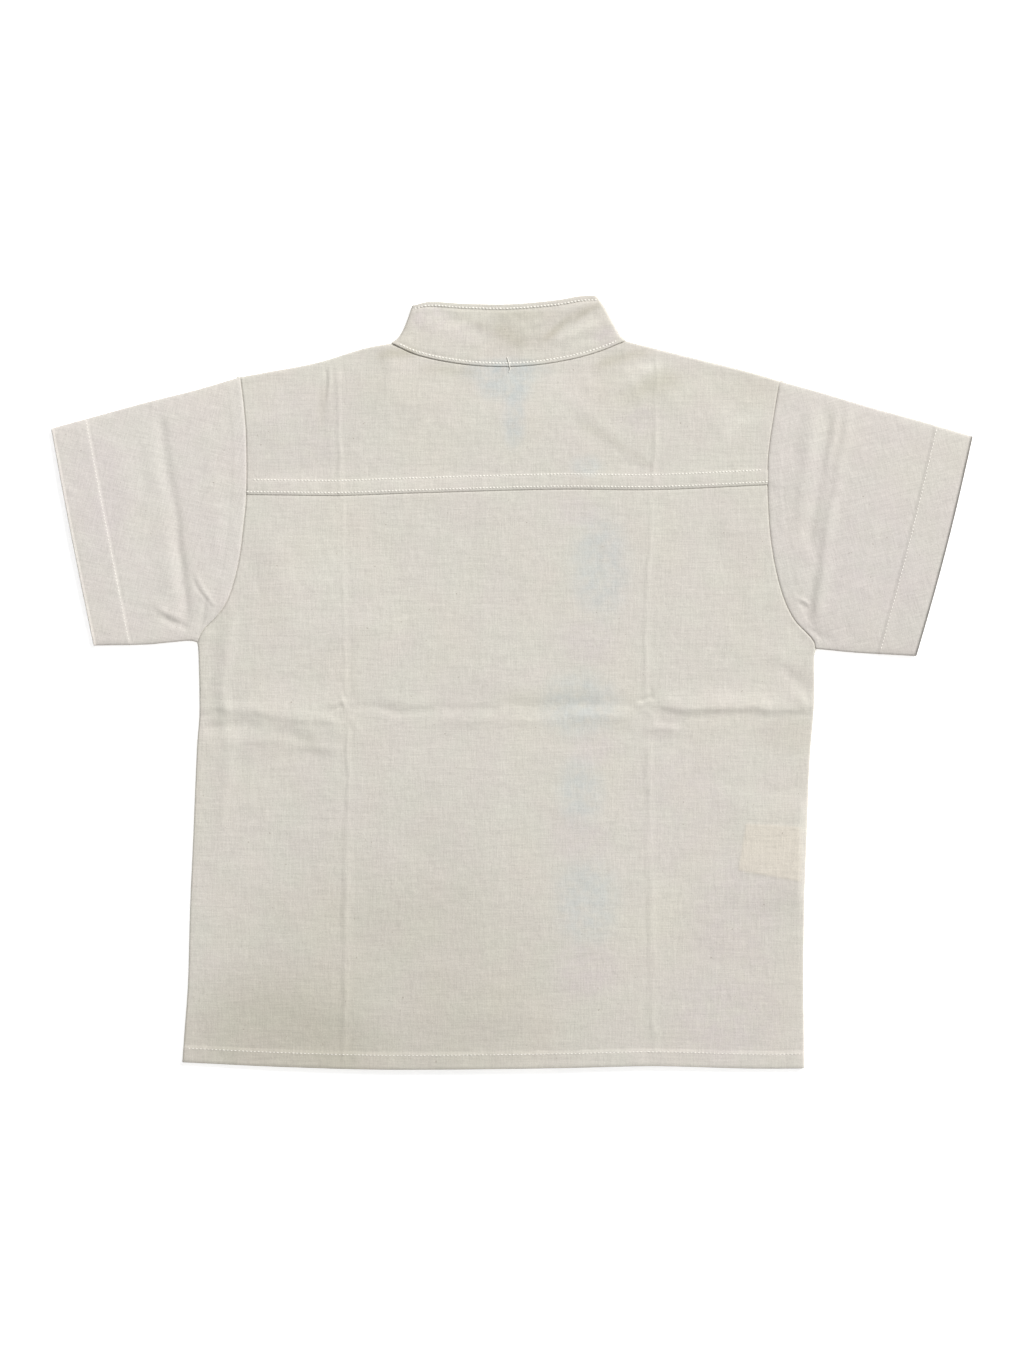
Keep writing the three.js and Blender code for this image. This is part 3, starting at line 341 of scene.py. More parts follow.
COLLAR_FOLDS = folds(
    (12, 185.6, 41, 197.4, 0.40, 1.6, 2.4, 0.6),
    (16, 181.5, 44, 191.5, -0.36, 2.0, 2.4, -0.6),
    (22, 176.5, 46, 186.0, 0.34, 1.8, 2.2, 0.5),
    (34, 176.0, 50, 181.0, -0.24, 1.6, 2.0, 0.3),
    (45, 191, 53, 178.5, 0.20, 1.4, 1.8, 0.4),
    (41, 194, 49.5, 183, -0.18, 1.3, 1.6, 0.3),
    (-52, 193, -28, 179, 0.18, 3.0, 3.4, -1.0),
    (-36, 191, -6, 175, -0.22, 2.6, 3.2, 1.2),
    (-14, 193, 10, 181, 0.15, 2.4, 2.8, 0.8),
    (-50, 179, -28, 187, -0.18, 2.0, 2.4, 0.6),
    (-4, 175, 16, 182, 0.24, 1.8, 2.4, 0.6),
    (-30, 184, -8, 190, 0.16, 1.6, 2.2, -0.5),
)
# Strokes of painted shade and light along creases, on the collar and below its ends; their height is a share of
# light.
PAINTED_SHADE_STROKES = folds(
    (17, 178, 40, 194.5, -0.12, 1.9, 1.9, 0.8),
    (32, 186.5, 48, 197.5, -0.10, 1.5, 1.5, 0.4),
    (25, 178, 47, 187, 0.05, 2.4, 2.4, 0.5),
    (-17, 193.6, 27, 190.6, -0.06, 3.0, 3.0, -1.0),
    (-8, 184, 6, 175, -0.07, 3.4, 3.4, 0.5),
    (-44, 190, -6, 173, 0.05, 4.4, 4.4, 1.5),
    (-30, 192, -12, 184, -0.05, 2.0, 2.4, -0.8),
    (-70, 169.4, -50, 171.8, -0.13, 1.8, 2.8, 0.3),
    (-46, 163.5, -18, 160.5, -0.06, 3.0, 3.4, 0.5),
    (44, 163.6, 73, 172.6, -0.10, 2.6, 2.8, 0.6),
    (52, 150, 76, 164.4, 0.05, 2.8, 2.8, 0.8),
    (62, 148, 84, 158, -0.05, 2.6, 3.0, 0.8),
    (36, 134, 73, 112, -0.04, 1.8, 2.6, 0.8),
    (106, 125, 127, 140, 0.04, 2.8, 3.6, 0.8),
    (-97, 152, -101, 128, -0.05, 2.6, 3.4, 1.0),
)


# ---- heights
EDGE_HEIGHT = 2.3
CENTRE_X = -4.7
HALF_CHEST = 160.0
ARCH_RISE = 3.3
ARCH_POWER = 1.6
HEM_ARCH_SHARE = 0.64
NECK_ARCH_SHARE = 0.3
EDGE_FADE = 30.0
HEM_BAND = 7.4
HEM_STEP = 0.9
HEM_RISE = 0.4
NECK_SPREAD = 22.0
EDGE_REACH = 58.0
PLACKET_LIFT = 1.5
OVERLAP = 13.0
CLOTH = 0.45
LABEL_LEFT = 118.0
LABEL_LOW = -108.5
LABEL_HIGH = -71.0
LABEL_FADE = 16.0
LABEL_ROOF = 1.36
SEAM_SHUT = 2.2
BUTTON_TOP_Y, BUTTON_PITCH, BUTTON_COUNT = 122.0, 65.0, 5
CIRCLE_HANDLE = 0.5523  # handle length of a quarter circle for a radius of 1
TABLE_HALF, TABLE_DROP = 2500.0, -0.26
ZONE_FADE, RIM_ROUND = 8.0, 0.8
WAVES, WAVE_RANGE, WAVE_SHARE = 9, (0.6, 1.7), 0.25


def mix(a: Array | float, b: Array | float, t: Array | float) -> Array | float:
    """Blend a into b by t."""
    return a + (b - a) * t


def smooth(t: Array | float) -> Array:
    """Ease t from 0 to 1 and hold it outside."""
    t = np.clip(t, 0, 1)
    return t * t * (3 - 2 * t)


def fold_height(folds: tuple[Fold, ...], x: Array, y: Array) -> Array:
    """Add up ridges and troughs.

    Args:
        folds: the lines with their heights and reaches.
        x: places across.
        y: places up the body.

    Returns:
        The height that the folds add at each place.
    """
    total = np.zeros(np.broadcast(x, y).shape)
    for f in folds:
        run, rise = f.x2 - f.x1, f.y2 - f.y1
        length = math.hypot(run, rise)
        along = ((x - f.x1) * run + (y - f.y1) * rise) / length**2
        off = ((y - f.y1) * run - (x - f.x1) * rise) / length
        if run < 0 or abs(rise) > abs(run) * 1.2 and rise < 0:
            off = -off
        if abs(rise) > abs(run) * 1.2:
            off = -off
        bend = f.bow * np.sin(math.pi * np.clip(along, 0, 1))
        wander = 0.28 * np.sin(along * length / 5.3 + f.x1) + 0.2 * np.sin(along * length / 2.9 + f.y1)
        off = off - bend - wander
        reach = np.where(off > 0, f.upper, f.lower)
        soft = min(0.2, 7.0 / length)
        taper = smooth((along + soft) / (2 * soft)) * smooth((1 + soft - along) / (2 * soft))
        swell = 1 + 0.22 * np.sin(along * length / 9.1 + f.y1)
        total = total + f.height * taper * swell * np.exp(-((off / reach) ** 2))
    return total


def ripples(x: Array, y: Array, wavelength: float, seed: int) -> Array:
    """Make a smooth uneven field from waves in fixed random directions.

    Args:
        x: places across.
        y: places up the body.
        wavelength: its usual length of wave.
        seed: picks the directions.

    Returns:
        Values around 0, mostly between -1 and 1.
    """
    rng = np.random.default_rng(seed)
    total = np.zeros(np.broadcast(x, y).shape)
    for _ in range(WAVES):
        angle, phase = rng.uniform(0, 2 * math.pi, 2)
        k = 2 * math.pi / (wavelength * rng.uniform(*WAVE_RANGE))
        total = total + np.sin(k * (x * math.cos(angle) + y * math.sin(angle)) + phase)
    return total * WAVE_SHARE


def yoke_top_y(x: Array) -> Array:
    """Upper edge of the back: left shoulder, neckline, right shoulder.

    Args:
        x: places across.

    Returns:
        The edge's places up the body.
    """
    top = BACK_NECK(x)
    top = np.where(x < NECK_LEFT, SHOULDER_LEFT(x), top)
    return np.where(x > NECK_RIGHT, SHOULDER_RIGHT(x), top)


def hem_share(x: Array, y: Array) -> Array:
    """How far a place lies in the body's hem, from 0 to 1."""
    return 1 - smooth((y - HEM_LINE(x) - HEM_BAND - 0.2) / HEM_STEP)


def arch_share(x: Array, y: Array) -> Array:
    """Share of the back's arch that is left at a place near the shoulders, neck or hem.

    Args:
        x: places across.
        y: places up the body.

    Returns:
        Shares from 0 to 1.
    """
    from_left = smooth((x - NECK_LEFT + NECK_SPREAD) / NECK_SPREAD)
    over_neck = from_left * smooth((NECK_RIGHT + NECK_SPREAD - x) / NECK_SPREAD)
    from_top = mix(NECK_ARCH_SHARE * over_neck, 1, smooth((yoke_top_y(x) - y) / EDGE_FADE))
    from_hem = mix(HEM_ARCH_SHARE, 1, smooth((y - HEM_LINE(x)) / EDGE_FADE))
    return np.minimum(from_top, from_hem)


def side_share(x: Array) -> Array:
    """Share of the way from the body's middle to its side, up to 1."""
    return np.minimum(1, np.abs(x - CENTRE_X) / HALF_CHEST)


def label_lift(x: Array, y: Array) -> Array:
    """Height that the care label adds to the back over it, with the side seam left shut.

    Args:
        x: places across.
        y: places up the body.

    Returns:
        Heights in millimetres.
    """
    beside_x = np.maximum(LABEL_LEFT - x, 0)
    beside_y = np.maximum(np.maximum(LABEL_LOW - y, y - LABEL_HIGH), 0)
    near = 1 - smooth(np.hypot(beside_x, beside_y) / LABEL_FADE)
    arch = ARCH_RISE * (1 - side_share(x) ** ARCH_POWER)
    shut = smooth((SIDE_CURVES[Side.RIGHT](y) - x - 0.2) / SEAM_SHUT)
    return np.where(x > CENTRE_X, near * shut * np.maximum(0, LABEL_ROOF - arch), 0)


def label_edge(x: Array, y: Array) -> Array:
    """The slight step that the care label presses into the cloth over it.

    Args:
        x: places across.
        y: places up the body.

    Returns:
        Shares from 0 beside the label to 1 on it.
    """
    left = 121.2 + 0.165 * (y + 73.3)
    low, high = -98.6 - 0.18 * (x - 118.3), -73.0 - 0.057 * (x - 122.4)
    inside = smooth((x - left) / 1.2) * smooth((150.4 - x) / 1.4)
    return inside * smooth((y - low) / 1.2) * smooth((high - y) / 1.4)


def back_height(x: Array, y: Array) -> Array:
    """Top surface of the back before its folds, without the yoke's own thickness.

    Args:
        x: places across.
        y: places up the body.

    Returns:
        Heights in millimetres.
    """
    arch = ARCH_RISE * (1 - side_share(x) ** ARCH_POWER) * arch_share(x, y)
    return EDGE_HEIGHT + arch + HEM_RISE * hem_share(x, y) + label_lift(x, y)


def back_relief(x: Array, y: Array) -> Array:
    """Folds, slack and pressed-through edges of the back.

    Args:
        x: places across.
        y: places up the body.

    Returns:
        Heights in millimetres.
    """
    inside = smooth((1.03 - side_share(x)) / 0.07)
    slack = 0.10 * ripples(x, y, 46, 3) + 0.035 * ripples(x, y, 17, 5)
    across = 0.02 * ripples(x * 0.35, y, 9, 11)
    pucker = np.exp(-(((y - HEM_LINE(x) - HEM_BAND) / 2.6) ** 2)) * 0.07 * np.sin(x / 1.9 + 2 * np.sin(x / 23))
    return (
        fold_height(BODY_FOLDS, x, y) * mix(0.45, 1, inside)
        + (slack + across) * inside
        + pucker
        + 0.20 * label_edge(x, y)
    )


def placket_lift(x: Array, y: Array) -> Array:
    """How far the button strip holds the fronts off the table."""
    across = 1 - smooth((np.abs(x - CENTRE_X) - 7.0) / 25.0)
    return PLACKET_LIFT * across * smooth((y + 188.0) / 36.0) * smooth((148.0 - y) / 20.0)


# ---- mesh making
@dataclass(frozen=True)
class Zone:
    """A stretch that gets finer cells: its middle and half its width."""

    at: float
    half: float


def spaced(start: float, stop: float, coarse: float, fine: float, zones: tuple[Zone, ...]) -> Array:
    """Space points along a line, closer together inside the zones.

    Args:
        start: first place.
        stop: last place.
        coarse: usual distance.
        fine: distance in the zones.
        zones: where the fine distance holds.

    Returns:
        The places, both ends among them.
    """
    samples = np.linspace(start, stop, 4000)
    step = np.full(samples.shape, coarse)
    for zone in zones:
        away = np.clip((np.abs(samples - zone.at) - zone.half) / ZONE_FADE, 0, 1)
        step = np.minimum(step, mix(fine, coarse, away))
    density = np.concatenate(([0], np.cumsum((samples[1] - samples[0]) / step[:-1])))
    count = max(2, int(round(density[-1])) + 1)
    return np.interp(np.linspace(0, density[-1], count), density, samples)


def grid_normals(points: Array, ring: bool) -> Array:
    """Unit normals of a grid of points, whose columns may close into a ring.

    Args:
        points: rows x columns x 3.
        ring: whether the last column meets the first.

    Returns:
        An array of the same shape.
    """
    if ring:
        padded = np.concatenate((points[:, -1:], points, points[:, :1]), axis=1)
        across = np.gradient(padded, axis=1)[:, 1:-1]
    else:
        across = np.gradient(points, axis=1)
    along = np.gradient(points, axis=0)
    normal = np.cross(across, along)
    return normal / np.maximum(np.linalg.norm(normal, axis=2, keepdims=True), 1e-9)


def border(at: Array, inset: int) -> Array:
    """Go once round a grid's rim.

    Args:
        at: the numbers of its points.
        inset: 0 for the rim itself, 1 for the neighbours a step inward.

    Returns:
        The numbers in order.
    """
    far = -1 - inset
    return np.concatenate((at[inset, :-1], at[:-1, far], at[far, :0:-1], at[:0:-1, inset]))


def shell(name: str, outer: Array, thick: Array | float, ring: bool = False, round_steps: int = 2) -> Piece:
    """Close a grid into a thin cloth with rounded rims.

    Args:
        name: the piece's name.
        outer: rows x columns x 3 points of its outer face, in millimetres.
        thick: thickness, one number or one for each point.
        ring: whether the columns close into a tube.
        round_steps: points across each rim besides its two edges.

    Returns:
        The object, with its faces outward.
    """
    normal = grid_normals(outer, ring)
    thick = np.broadcast_to(np.asarray(thick, float), outer.shape[:2])[..., None]
    inner = outer - normal * thick
    rows, columns = outer.shape[:2]
    layers = [outer.reshape(-1, 3), inner.reshape(-1, 3)]
    outer_at = np.arange(rows * columns).reshape(rows, columns)
    inner_at = outer_at + rows * columns
    faces: list[Array] = []

    def quads(a: Array, b: Array, c: Array, d: Array) -> None:
        """Add the faces with these corners."""
        faces.append(np.stack([a.ravel(), b.ravel(), c.ravel(), d.ravel()], axis=1))

    def sheet_faces(at: Array, flip: bool) -> None:
        """Cover one layer.

        Args:
            at: the numbers of its points.
            flip: whether it faces the other way.
        """
        wide = np.concatenate((at, at[:, :1]), axis=1) if ring else at
        a, b, c, d = wide[:-1, :-1], wide[:-1, 1:], wide[1:, 1:], wide[1:, :-1]
        quads(*((a, d, c, b) if flip else (a, b, c, d)))

    sheet_faces(outer_at, False)
    sheet_faces(inner_at, True)
    if ring:
        rims = [(outer_at[k], inner_at[k], outer[k], inner[k], outer[beside]) for k, beside in ((0, 1), (-1, -2))]
    else:
        loop = border(outer_at, 0)
        flat_outer, flat_inner = layers
        rims = [(loop, loop + rows * columns, flat_outer[loop], flat_inner[loop], flat_outer[border(outer_at, 1)])]
    made = rows * columns * 2
    for top, low, top_points, low_points, inward in rims:
        out = top_points - inward
        out /= np.maximum(np.linalg.norm(out, axis=1, keepdims=True), 1e-9)
        half = (top_points - low_points) / 2
        radius = np.linalg.norm(half, axis=1, keepdims=True)
        previous = top
        for k in range(1, round_steps + 2):
            if k == round_steps + 1:
                current = low
            else:
                angle = math.pi * k / (round_steps + 1)
                bulge = (top_points + low_points) / 2 + half * math.cos(angle)
                layers.append(bulge + out * radius * math.sin(angle) * RIM_ROUND)
                current = np.arange(made, made + len(top))
                made += len(top)
            quads(previous, current, np.roll(current, -1), np.roll(previous, -1))
            previous = current
    return mesh_object(name, np.concatenate(layers), np.concatenate(faces))


def linked(name: str, data: bpy.types.ID) -> Piece:
    """Make an object in the scene.

    Args:
        name: its name.
        data: its mesh, curve, lamp or camera.

    Returns:
        The object.
    """
    made = bpy.data.objects.new(name, data)
    bpy.context.scene.collection.objects.link(made)
    return made


def as_mesh(guide: Piece) -> bpy.types.Mesh:
    """Turn a curve with its modifiers into a mesh, and take the curve away.

    Args:
        guide: the curve's object.

    Returns:
        The mesh.
    """
    graph = bpy.context.evaluated_depsgraph_get()
    mesh = bpy.data.meshes.new_from_object(guide.evaluated_get(graph))
    bpy.data.objects.remove(guide)
    return mesh


def mesh_object(name: str, points: Array, faces: Array) -> Piece:
    """Make a smooth-shaded mesh object at the origin.

    Args:
        name: the piece's name.
        points: its points in millimetres, in the tables' frame.
        faces: its four-cornered faces.

    Returns:
        The object, with its normals outward.
    """
    mesh = bpy.data.meshes.new(name)
    placed = (points + FrameShift.value) * MM
    mesh.vertices.add(len(placed))
    mesh.vertices.foreach_set("co", placed.astype(np.float32).ravel())
    mesh.loops.add(faces.size)
    mesh.loops.foreach_set("vertex_index", faces.astype(np.int32).ravel())
    mesh.polygons.add(len(faces))
    mesh.polygons.foreach_set("loop_start", np.arange(0, faces.size, 4, dtype=np.int32))
    mesh.update(calc_edges=True)
    mesh.validate()
    corners = placed[faces]
    face_normal = np.cross(corners[:, 2] - corners[:, 0], corners[:, 3] - corners[:, 1])
    if float((corners.mean(axis=1) * face_normal).sum()) < 0:
        mesh.flip_normals()
    mesh.shade_smooth()
    return linked(name, mesh)


class FrameShift:
    """Offset from the tables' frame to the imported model's, in millimetres."""

    value: Array = np.zeros(3)

    @classmethod
    def read(cls) -> None:
        """Take it from the middle of the top button, whose place the tables give."""
        low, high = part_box("button_1")
        middle = (np.array(low) + np.array(high)) / 2 / MM
        cls.value = np.array([middle[0] - CENTRE_X, middle[1] - BUTTON_TOP_Y, 0.0])


def paint(piece: Piece, values: Array, name: str = "tint") -> None:
    """Keep soft colour masks and painted shade on a piece's points.

    Args:
        piece: the mesh.
        values: points x 4 numbers from 0 to 1.
        name: the attribute's name.
    """
    layer = piece.data.attributes.new(name, "FLOAT_COLOR", "POINT")
    layer.data.foreach_set("color", values.astype(np.float32).ravel())


def places(piece: Piece) -> Array:
    """The points of a mesh in millimetres, in the tables' frame.

    Args:
        piece: the mesh.

    Returns:
        Points x 3 numbers.
    """
    co = np.zeros(len(piece.data.vertices) * 3, np.float32)
    piece.data.vertices.foreach_get("co", co)
    return co.reshape(-1, 3) / MM - FrameShift.value


# ---- body panels
THETA = np.radians([0, 18, 36, 54, 72, 90])
TUCK_IN = np.array([-1.8, -1.0, -0.3, 0.2, 0.6, 1.15])
ARMHOLE_DEPTH = 0.8
EDGE_COLUMNS = 3.8
SIDE_CURVES = {Side.LEFT: SIDE_LEFT, Side.RIGHT: SIDE_RIGHT}


def fine_rows(pairs: tuple[tuple[float, float], ...], coarse: float, fine: float, zones: tuple[Zone, ...]) -> Array:
    """Divide shared rows of a panel more finely.

    Args:
        pairs: heights of the rows on the left and right edges.
        coarse: usual distance between rows.
        fine: distance in the zones.
        zones: heights on the left edge where rows lie closer.

    Returns:
        An array of (left, right) heights.
    """
    left = np.array([p[0] for p in pairs], float)
    right = np.array([p[1] for p in pairs], float)
    at = spaced(left[0], left[-1], coarse, fine, zones)
    return np.stack((at, np.interp(at, left, right)), axis=1)


@dataclass
class PanelPlan:
    """Places of a panel's points in plan, with the depth of each into its rolled or tucked edges."""

    x: Array
    y: Array
    drop: Array


@dataclass
class PanelEdge:
    """One upright edge of a panel: its place on every row and how it is finished there."""

    x: Array
    y: Array
    slope: Array
    radius: Array
    tuck: Array
    depth: float = 0.0

    def bands(self) -> tuple[Array, Array]:
        """Distances inward and drops of the edge's own columns, row by row."""
        r = self.radius[:, None]
        tuck = self.tuck[:, None]
        inward = mix(r * (1 - np.cos(THETA)), TUCK_IN, tuck)
        drop = mix(r * (1 - np.sin(THETA)), self.depth * (1 - smooth((TUCK_IN + 0.3) / 0.95)), tuck)
        return inward * self.slope[:, None], drop


def side_edge(side: Side, heights: Array, depth: float) -> PanelEdge:
    """The body's outline on one side, rolled up to the underarm and tucked along the armhole.

    Args:
        side: which side of the body.
        heights: the rows' places up the body.
        depth: how far the cloth dips at the armhole, in millimetres.

    Returns:
        The edge.
    """
    curve = SIDE_CURVES[side]
    slope = np.hypot(1, curve(heights + 0.5) - curve(heights - 0.5))
    underarm = UNDERARM_ROW[side.column]
    x = curve(heights)
    radius = (EDGE_HEIGHT + HEM_RISE * hem_share(x, heights)) / 2
    tuck = smooth((heights - underarm) / 3.5)
    return PanelEdge(x, heights, slope, radius, tuck, depth)


def straight_edge(x: float, low: float, high: float, across: Array) -> PanelEdge:
    """A front's straight centre edge, with the height shares of the side across from it.

    Args:
        x: the edge's place across.
        low: its lower end.
        high: its upper end.
        across: the rows' heights at the side across from it.

    Returns:
        The edge.
    """
    share = (across - across[0]) / (across[-1] - across[0])
    y = mix(low, high, share)
    flat = np.zeros_like(y)
    return PanelEdge(np.full_like(y, x), y, flat + 1, flat, flat)


def panel_plan(left: PanelEdge, right: PanelEdge, bottom: Array, top: Array, inner: Array) -> PanelPlan:
    """Lay out a panel between two edges.

    Args:
        left: its left edge.
        right: its right edge.
        bottom: function of x that gives its lower edge.
        top: function of x that gives its upper edge.
        inner: x on the lower edge of the columns between the edges' own.

    Returns:
        The plan, rows from the hem upward and columns from left to right.
    """
    start, stop = left.x[0], right.x[0]
    left_pull = np.clip(1 - (inner - start) / EDGE_REACH, 0, 1)
    right_pull = np.clip(1 - (stop - inner) / EDGE_REACH, 0, 1)
    body = inner + left_pull * (left.x - start)[:, None] + right_pull * (right.x - stop)[:, None]
    left_in, left_drop = left.bands()
    right_in, right_drop = right.bands()
    x = np.concatenate((left.x[:, None] + left_in, body, (right.x[:, None] - right_in)[:, ::-1]), axis=1)
    v = ((left.y - left.y[0]) / (left.y[-1] - left.y[0]))[:, None]
    u = (x - x[:, :1]) / (x[:, -1:] - x[:, :1])
    left_error = left.y[:, None] - mix(bottom(left.x), top(left.x), v[:, 0])[:, None]
    right_error = right.y[:, None] - mix(bottom(right.x), top(right.x), v[:, 0])[:, None]
    y = mix(bottom(x), top(x), v) + mix(left_error, right_error, u)
    middle = np.zeros((len(v), len(inner)))
    drop = np.concatenate((left_drop, middle, right_drop[:, ::-1]), axis=1)
    return PanelPlan(x, y, drop)


@dataclass
class BackPanel:
    """The back from its hem to the yoke seam, running on a little under the yoke."""

    coarse: float = 2.0
    fine: float = 0.7
    hem_thick: float = 1.0
    under_yoke: tuple[float, ...] = (0.5, 1.6, 3.4, 5.2)
    seam_dip: float = 0.28
    flat: tuple[float, float] = (0.331, 0.318)

    def build(self) -> Piece:
        """Make the panel's cloth.

        Returns:
            The piece.
        """
        zones = (Zone(-189.4, 2.0), Zone(-100.8, 4.0), Zone(-74.5, 2.0), Zone(-20.5, 13.0), Zone(96.6, 1.2))
        rows = fine_rows(BODY_ROWS, self.coarse, self.fine, zones)
        left = side_edge(Side.LEFT, rows[:, 0], ARMHOLE_DEPTH)
        right = side_edge(Side.RIGHT, rows[:, 1], ARMHOLE_DEPTH)
        crease_zones = (Zone(-87.2, 4.0), Zone(71.0, 4.2), Zone(120.4, 3.2), Zone(148, 2.5))
        inner = spaced(left.x[0] + EDGE_COLUMNS, right.x[0] - EDGE_COLUMNS, self.coarse, self.fine, crease_zones)
        plan = panel_plan(left, right, HEM_LINE, YOKE_SEAM, inner)
        x, y, drop = plan.x, plan.y, plan.drop
        for step in self.under_yoke:
            x = np.concatenate((x, plan.x[-1:]))
            y = np.concatenate((y, plan.y[-1:] + step))
            drop = np.concatenate((drop, plan.drop[-1:]))
        dip = self.seam_dip * smooth((y - YOKE_SEAM(x) + 1.0) / 1.1)
        z = back_height(x, y) + back_relief(x, y) - drop - dip
        thick = mix(CLOTH, self.hem_thick, hem_share(x, y))
        return shell("back_panel_cloth", np.stack((x, y, z), axis=2), thick)


@dataclass
class BackYoke:
    """The yoke over the shoulder blades, with its stitched seam allowance and its rolled shoulders."""

    coarse: float = 1.6
    fine: float = 0.7
    proud: float = 0.24
    band: float = 7.8
    band_rise: float = 0.25
    fold_thick: float = 0.70
    flat: tuple[float, float] = (0.284, 0.084)

    def top_bands(self, x: Array) -> tuple[Array, Array]:
        """Distances down from the upper edge and drops of the top rows.

        Args:
            x: places of one row's points.

        Returns:
            Two arrays of rows x columns, the lowest row first.
        """
        neck = smooth((x - NECK_LEFT - 1) / 5) * smooth((NECK_RIGHT - 1 - x) / 5)
        radius = EDGE_HEIGHT / 2 + self.proud / 2
        slope = np.hypot(1, yoke_top_y(x + 0.5) - yoke_top_y(x - 0.5))
        turn = THETA[::-1, None]
        roll, roll_drop = radius * (1 - np.cos(turn)), radius * (1 - np.sin(turn))
        tuck = TUCK_IN[::-1, None]
        tuck_drop = 0.9 * (1 - smooth((tuck + 0.5) / 1.2))
        return mix(roll, tuck, neck) * slope, mix(roll_drop, tuck_drop, neck)

    def build(self) -> Piece:
        """Make the yoke's cloth.

        Returns:
            The piece.
        """
        zones = (Zone(98.2, 1.6), Zone(105.4, 1.2))
        rows = fine_rows(YOKE_ROWS, self.coarse, self.fine, zones)
        left = side_edge(Side.LEFT, rows[:, 0], ARMHOLE_DEPTH)
        right = side_edge(Side.RIGHT, rows[:, 1], ARMHOLE_DEPTH)
        zones = (Zone(-91.5, 5.5), Zone(45, 20), Zone(73.5, 3))
        inner = spaced(left.x[0] + EDGE_COLUMNS, right.x[0] - EDGE_COLUMNS, self.coarse, self.fine, zones)
        plan = panel_plan(left, right, YOKE_SEAM, yoke_top_y, inner)
        top_y = plan.y[-1]
        keep = plan.y[:, 10] < top_y[10] - 2.6
        keep[-1] = False
        x, y, drop = plan.x[keep], plan.y[keep], plan.drop[keep]
        y = np.minimum(y, top_y - 2.2)
        down, top_drop = self.top_bands(plan.x[-1])
        x = np.concatenate((x, np.repeat(plan.x[-1:], len(down), axis=0)))
        y = np.concatenate((y, top_y - down))
        drop = np.concatenate((drop, np.hypot(plan.drop[-1], top_drop)))
        above = y - YOKE_SEAM(x)
        band = 1 - smooth((above - self.band + 0.2) / 1.0)
        crease = -0.16 * np.exp(-(((above - self.band + 0.2) / 0.7) ** 2))
        crease = crease - 0.14 * np.exp(-(((above - 1.15) / 0.6) ** 2))
        lip = -0.26 * (1 - smooth(above / 0.7))
        pull = 0.05 * np.sin(x / 2.1 + 1.6 * np.sin(x / 17)) * smooth(1 - np.abs(above - 4.5) / 6)
        soft = smooth((top_y.mean() - y + 20) / 20)
        relief = fold_height(YOKE_FOLDS, x, y) + back_relief(x, y) * soft
        relief = relief * smooth((yoke_top_y(x) - y) / 7)
        z = back_height(x, y) + self.proud + self.band_rise * band + relief + crease + lip + pull - drop
        thick = mix(CLOTH, self.fold_thick, band)
        return shell("back_yoke_cloth", np.stack((x, y, z), axis=2), thick, round_steps=3)


@dataclass
class FrontPanel:
    """One front, lying on the table, with its button strip along the middle of the shirt."""

    side: Side
    coarse: float = 3.0
    fine: float = 1.3
    strip_thick: float = 0.95
    hem_thick: float = 1.0
    flat: dict[Side, tuple[float, float]] = field(
        default_factory=lambda: {Side.LEFT: (0.182, 0.392), Side.RIGHT: (0.179, 0.392)}
    )

    def top_y(self, x: Array) -> Array:
        """Upper edge: the shoulder, then the neckline, level across the overlap.

        Args:
            x: places across.

        Returns:
            The edge's places up the body.
        """
        sign = self.side.value
        held = np.where((x - CENTRE_X) * sign > 0, x, CENTRE_X)
        neck = FRONT_NECK(held) - 0.1
        shoulder = x < NECK_LEFT if self.side is Side.LEFT else x > NECK_RIGHT
        return np.where(shoulder, yoke_top_y(x), neck)

    def build(self) -> Piece:
        """Make the front's cloth, its outer face down.

        Returns:
            The piece.
        """
        sign = self.side.value
        pairs = BODY_ROWS + YOKE_ROWS[1:]
        if self.side is Side.RIGHT:
            pairs = tuple((p[1], p[0]) for p in pairs)
        rows = fine_rows(pairs, self.coarse, self.fine, (Zone(pairs[1][0], 2.0), Zone(pairs[-1][0], 2.5)))
        outline = side_edge(self.side, rows[:, 0], ARMHOLE_DEPTH / 3)
        inner_x = CENTRE_X - sign * OVERLAP
        top = float(self.top_y(np.array(CENTRE_X)))
        centre = straight_edge(inner_x, float(HEM_LINE(inner_x)), top, rows[:, 0])
        left, right = (outline, centre) if self.side is Side.LEFT else (centre, outline)
        zones = (Zone(CENTRE_X + 11, 3.0), Zone(CENTRE_X - 11, 3.0))
        inner = spaced(left.x[0] + EDGE_COLUMNS, right.x[0] - EDGE_COLUMNS, self.coarse, self.fine, zones)
        plan = panel_plan(left, right, HEM_LINE, self.top_y, inner)
        x, y, drop = plan.x, plan.y, plan.drop
        shoulder = smooth((NECK_LEFT - x) / 4) if sign < 0 else smooth((x - NECK_RIGHT) / 4)
        down = self.top_y(x) - y
        radius = EDGE_HEIGHT / 2
        roll = radius * (1 - np.sqrt(np.clip(1 - np.clip(1 - down / radius, 0, 1) ** 2, 0, 1)))
        over = 0.0
        if self.side is Side.RIGHT:
            wall = mix(1.0, 1.4, hem_share(x, y))
            over = smooth((CENTRE_X + OVERLAP + 17 - x) / 16) * (wall + 0.4)
        base = placket_lift(x, y) + over
        slack = 0.05 * (1 + ripples(x, y, 40, 21 + sign)) * smooth((np.abs(x - CENTRE_X) - 30) / 40)
        z = base + np.maximum(slack, 0) * smooth((drop < 0.01) * 1.0) + np.hypot(drop, roll * shoulder)
        strip = 1 - smooth((np.abs(x - CENTRE_X) - 12.4) / 0.9)
        thick = np.maximum(mix(CLOTH, self.hem_thick, hem_share(x, y)), mix(CLOTH, self.strip_thick, strip))
        outer = np.stack((x, y, z), axis=2)[:, ::-1]
        name = f"front_{self.side.name.lower()}_cloth"
        return shell(name, outer, thick[:, ::-1])


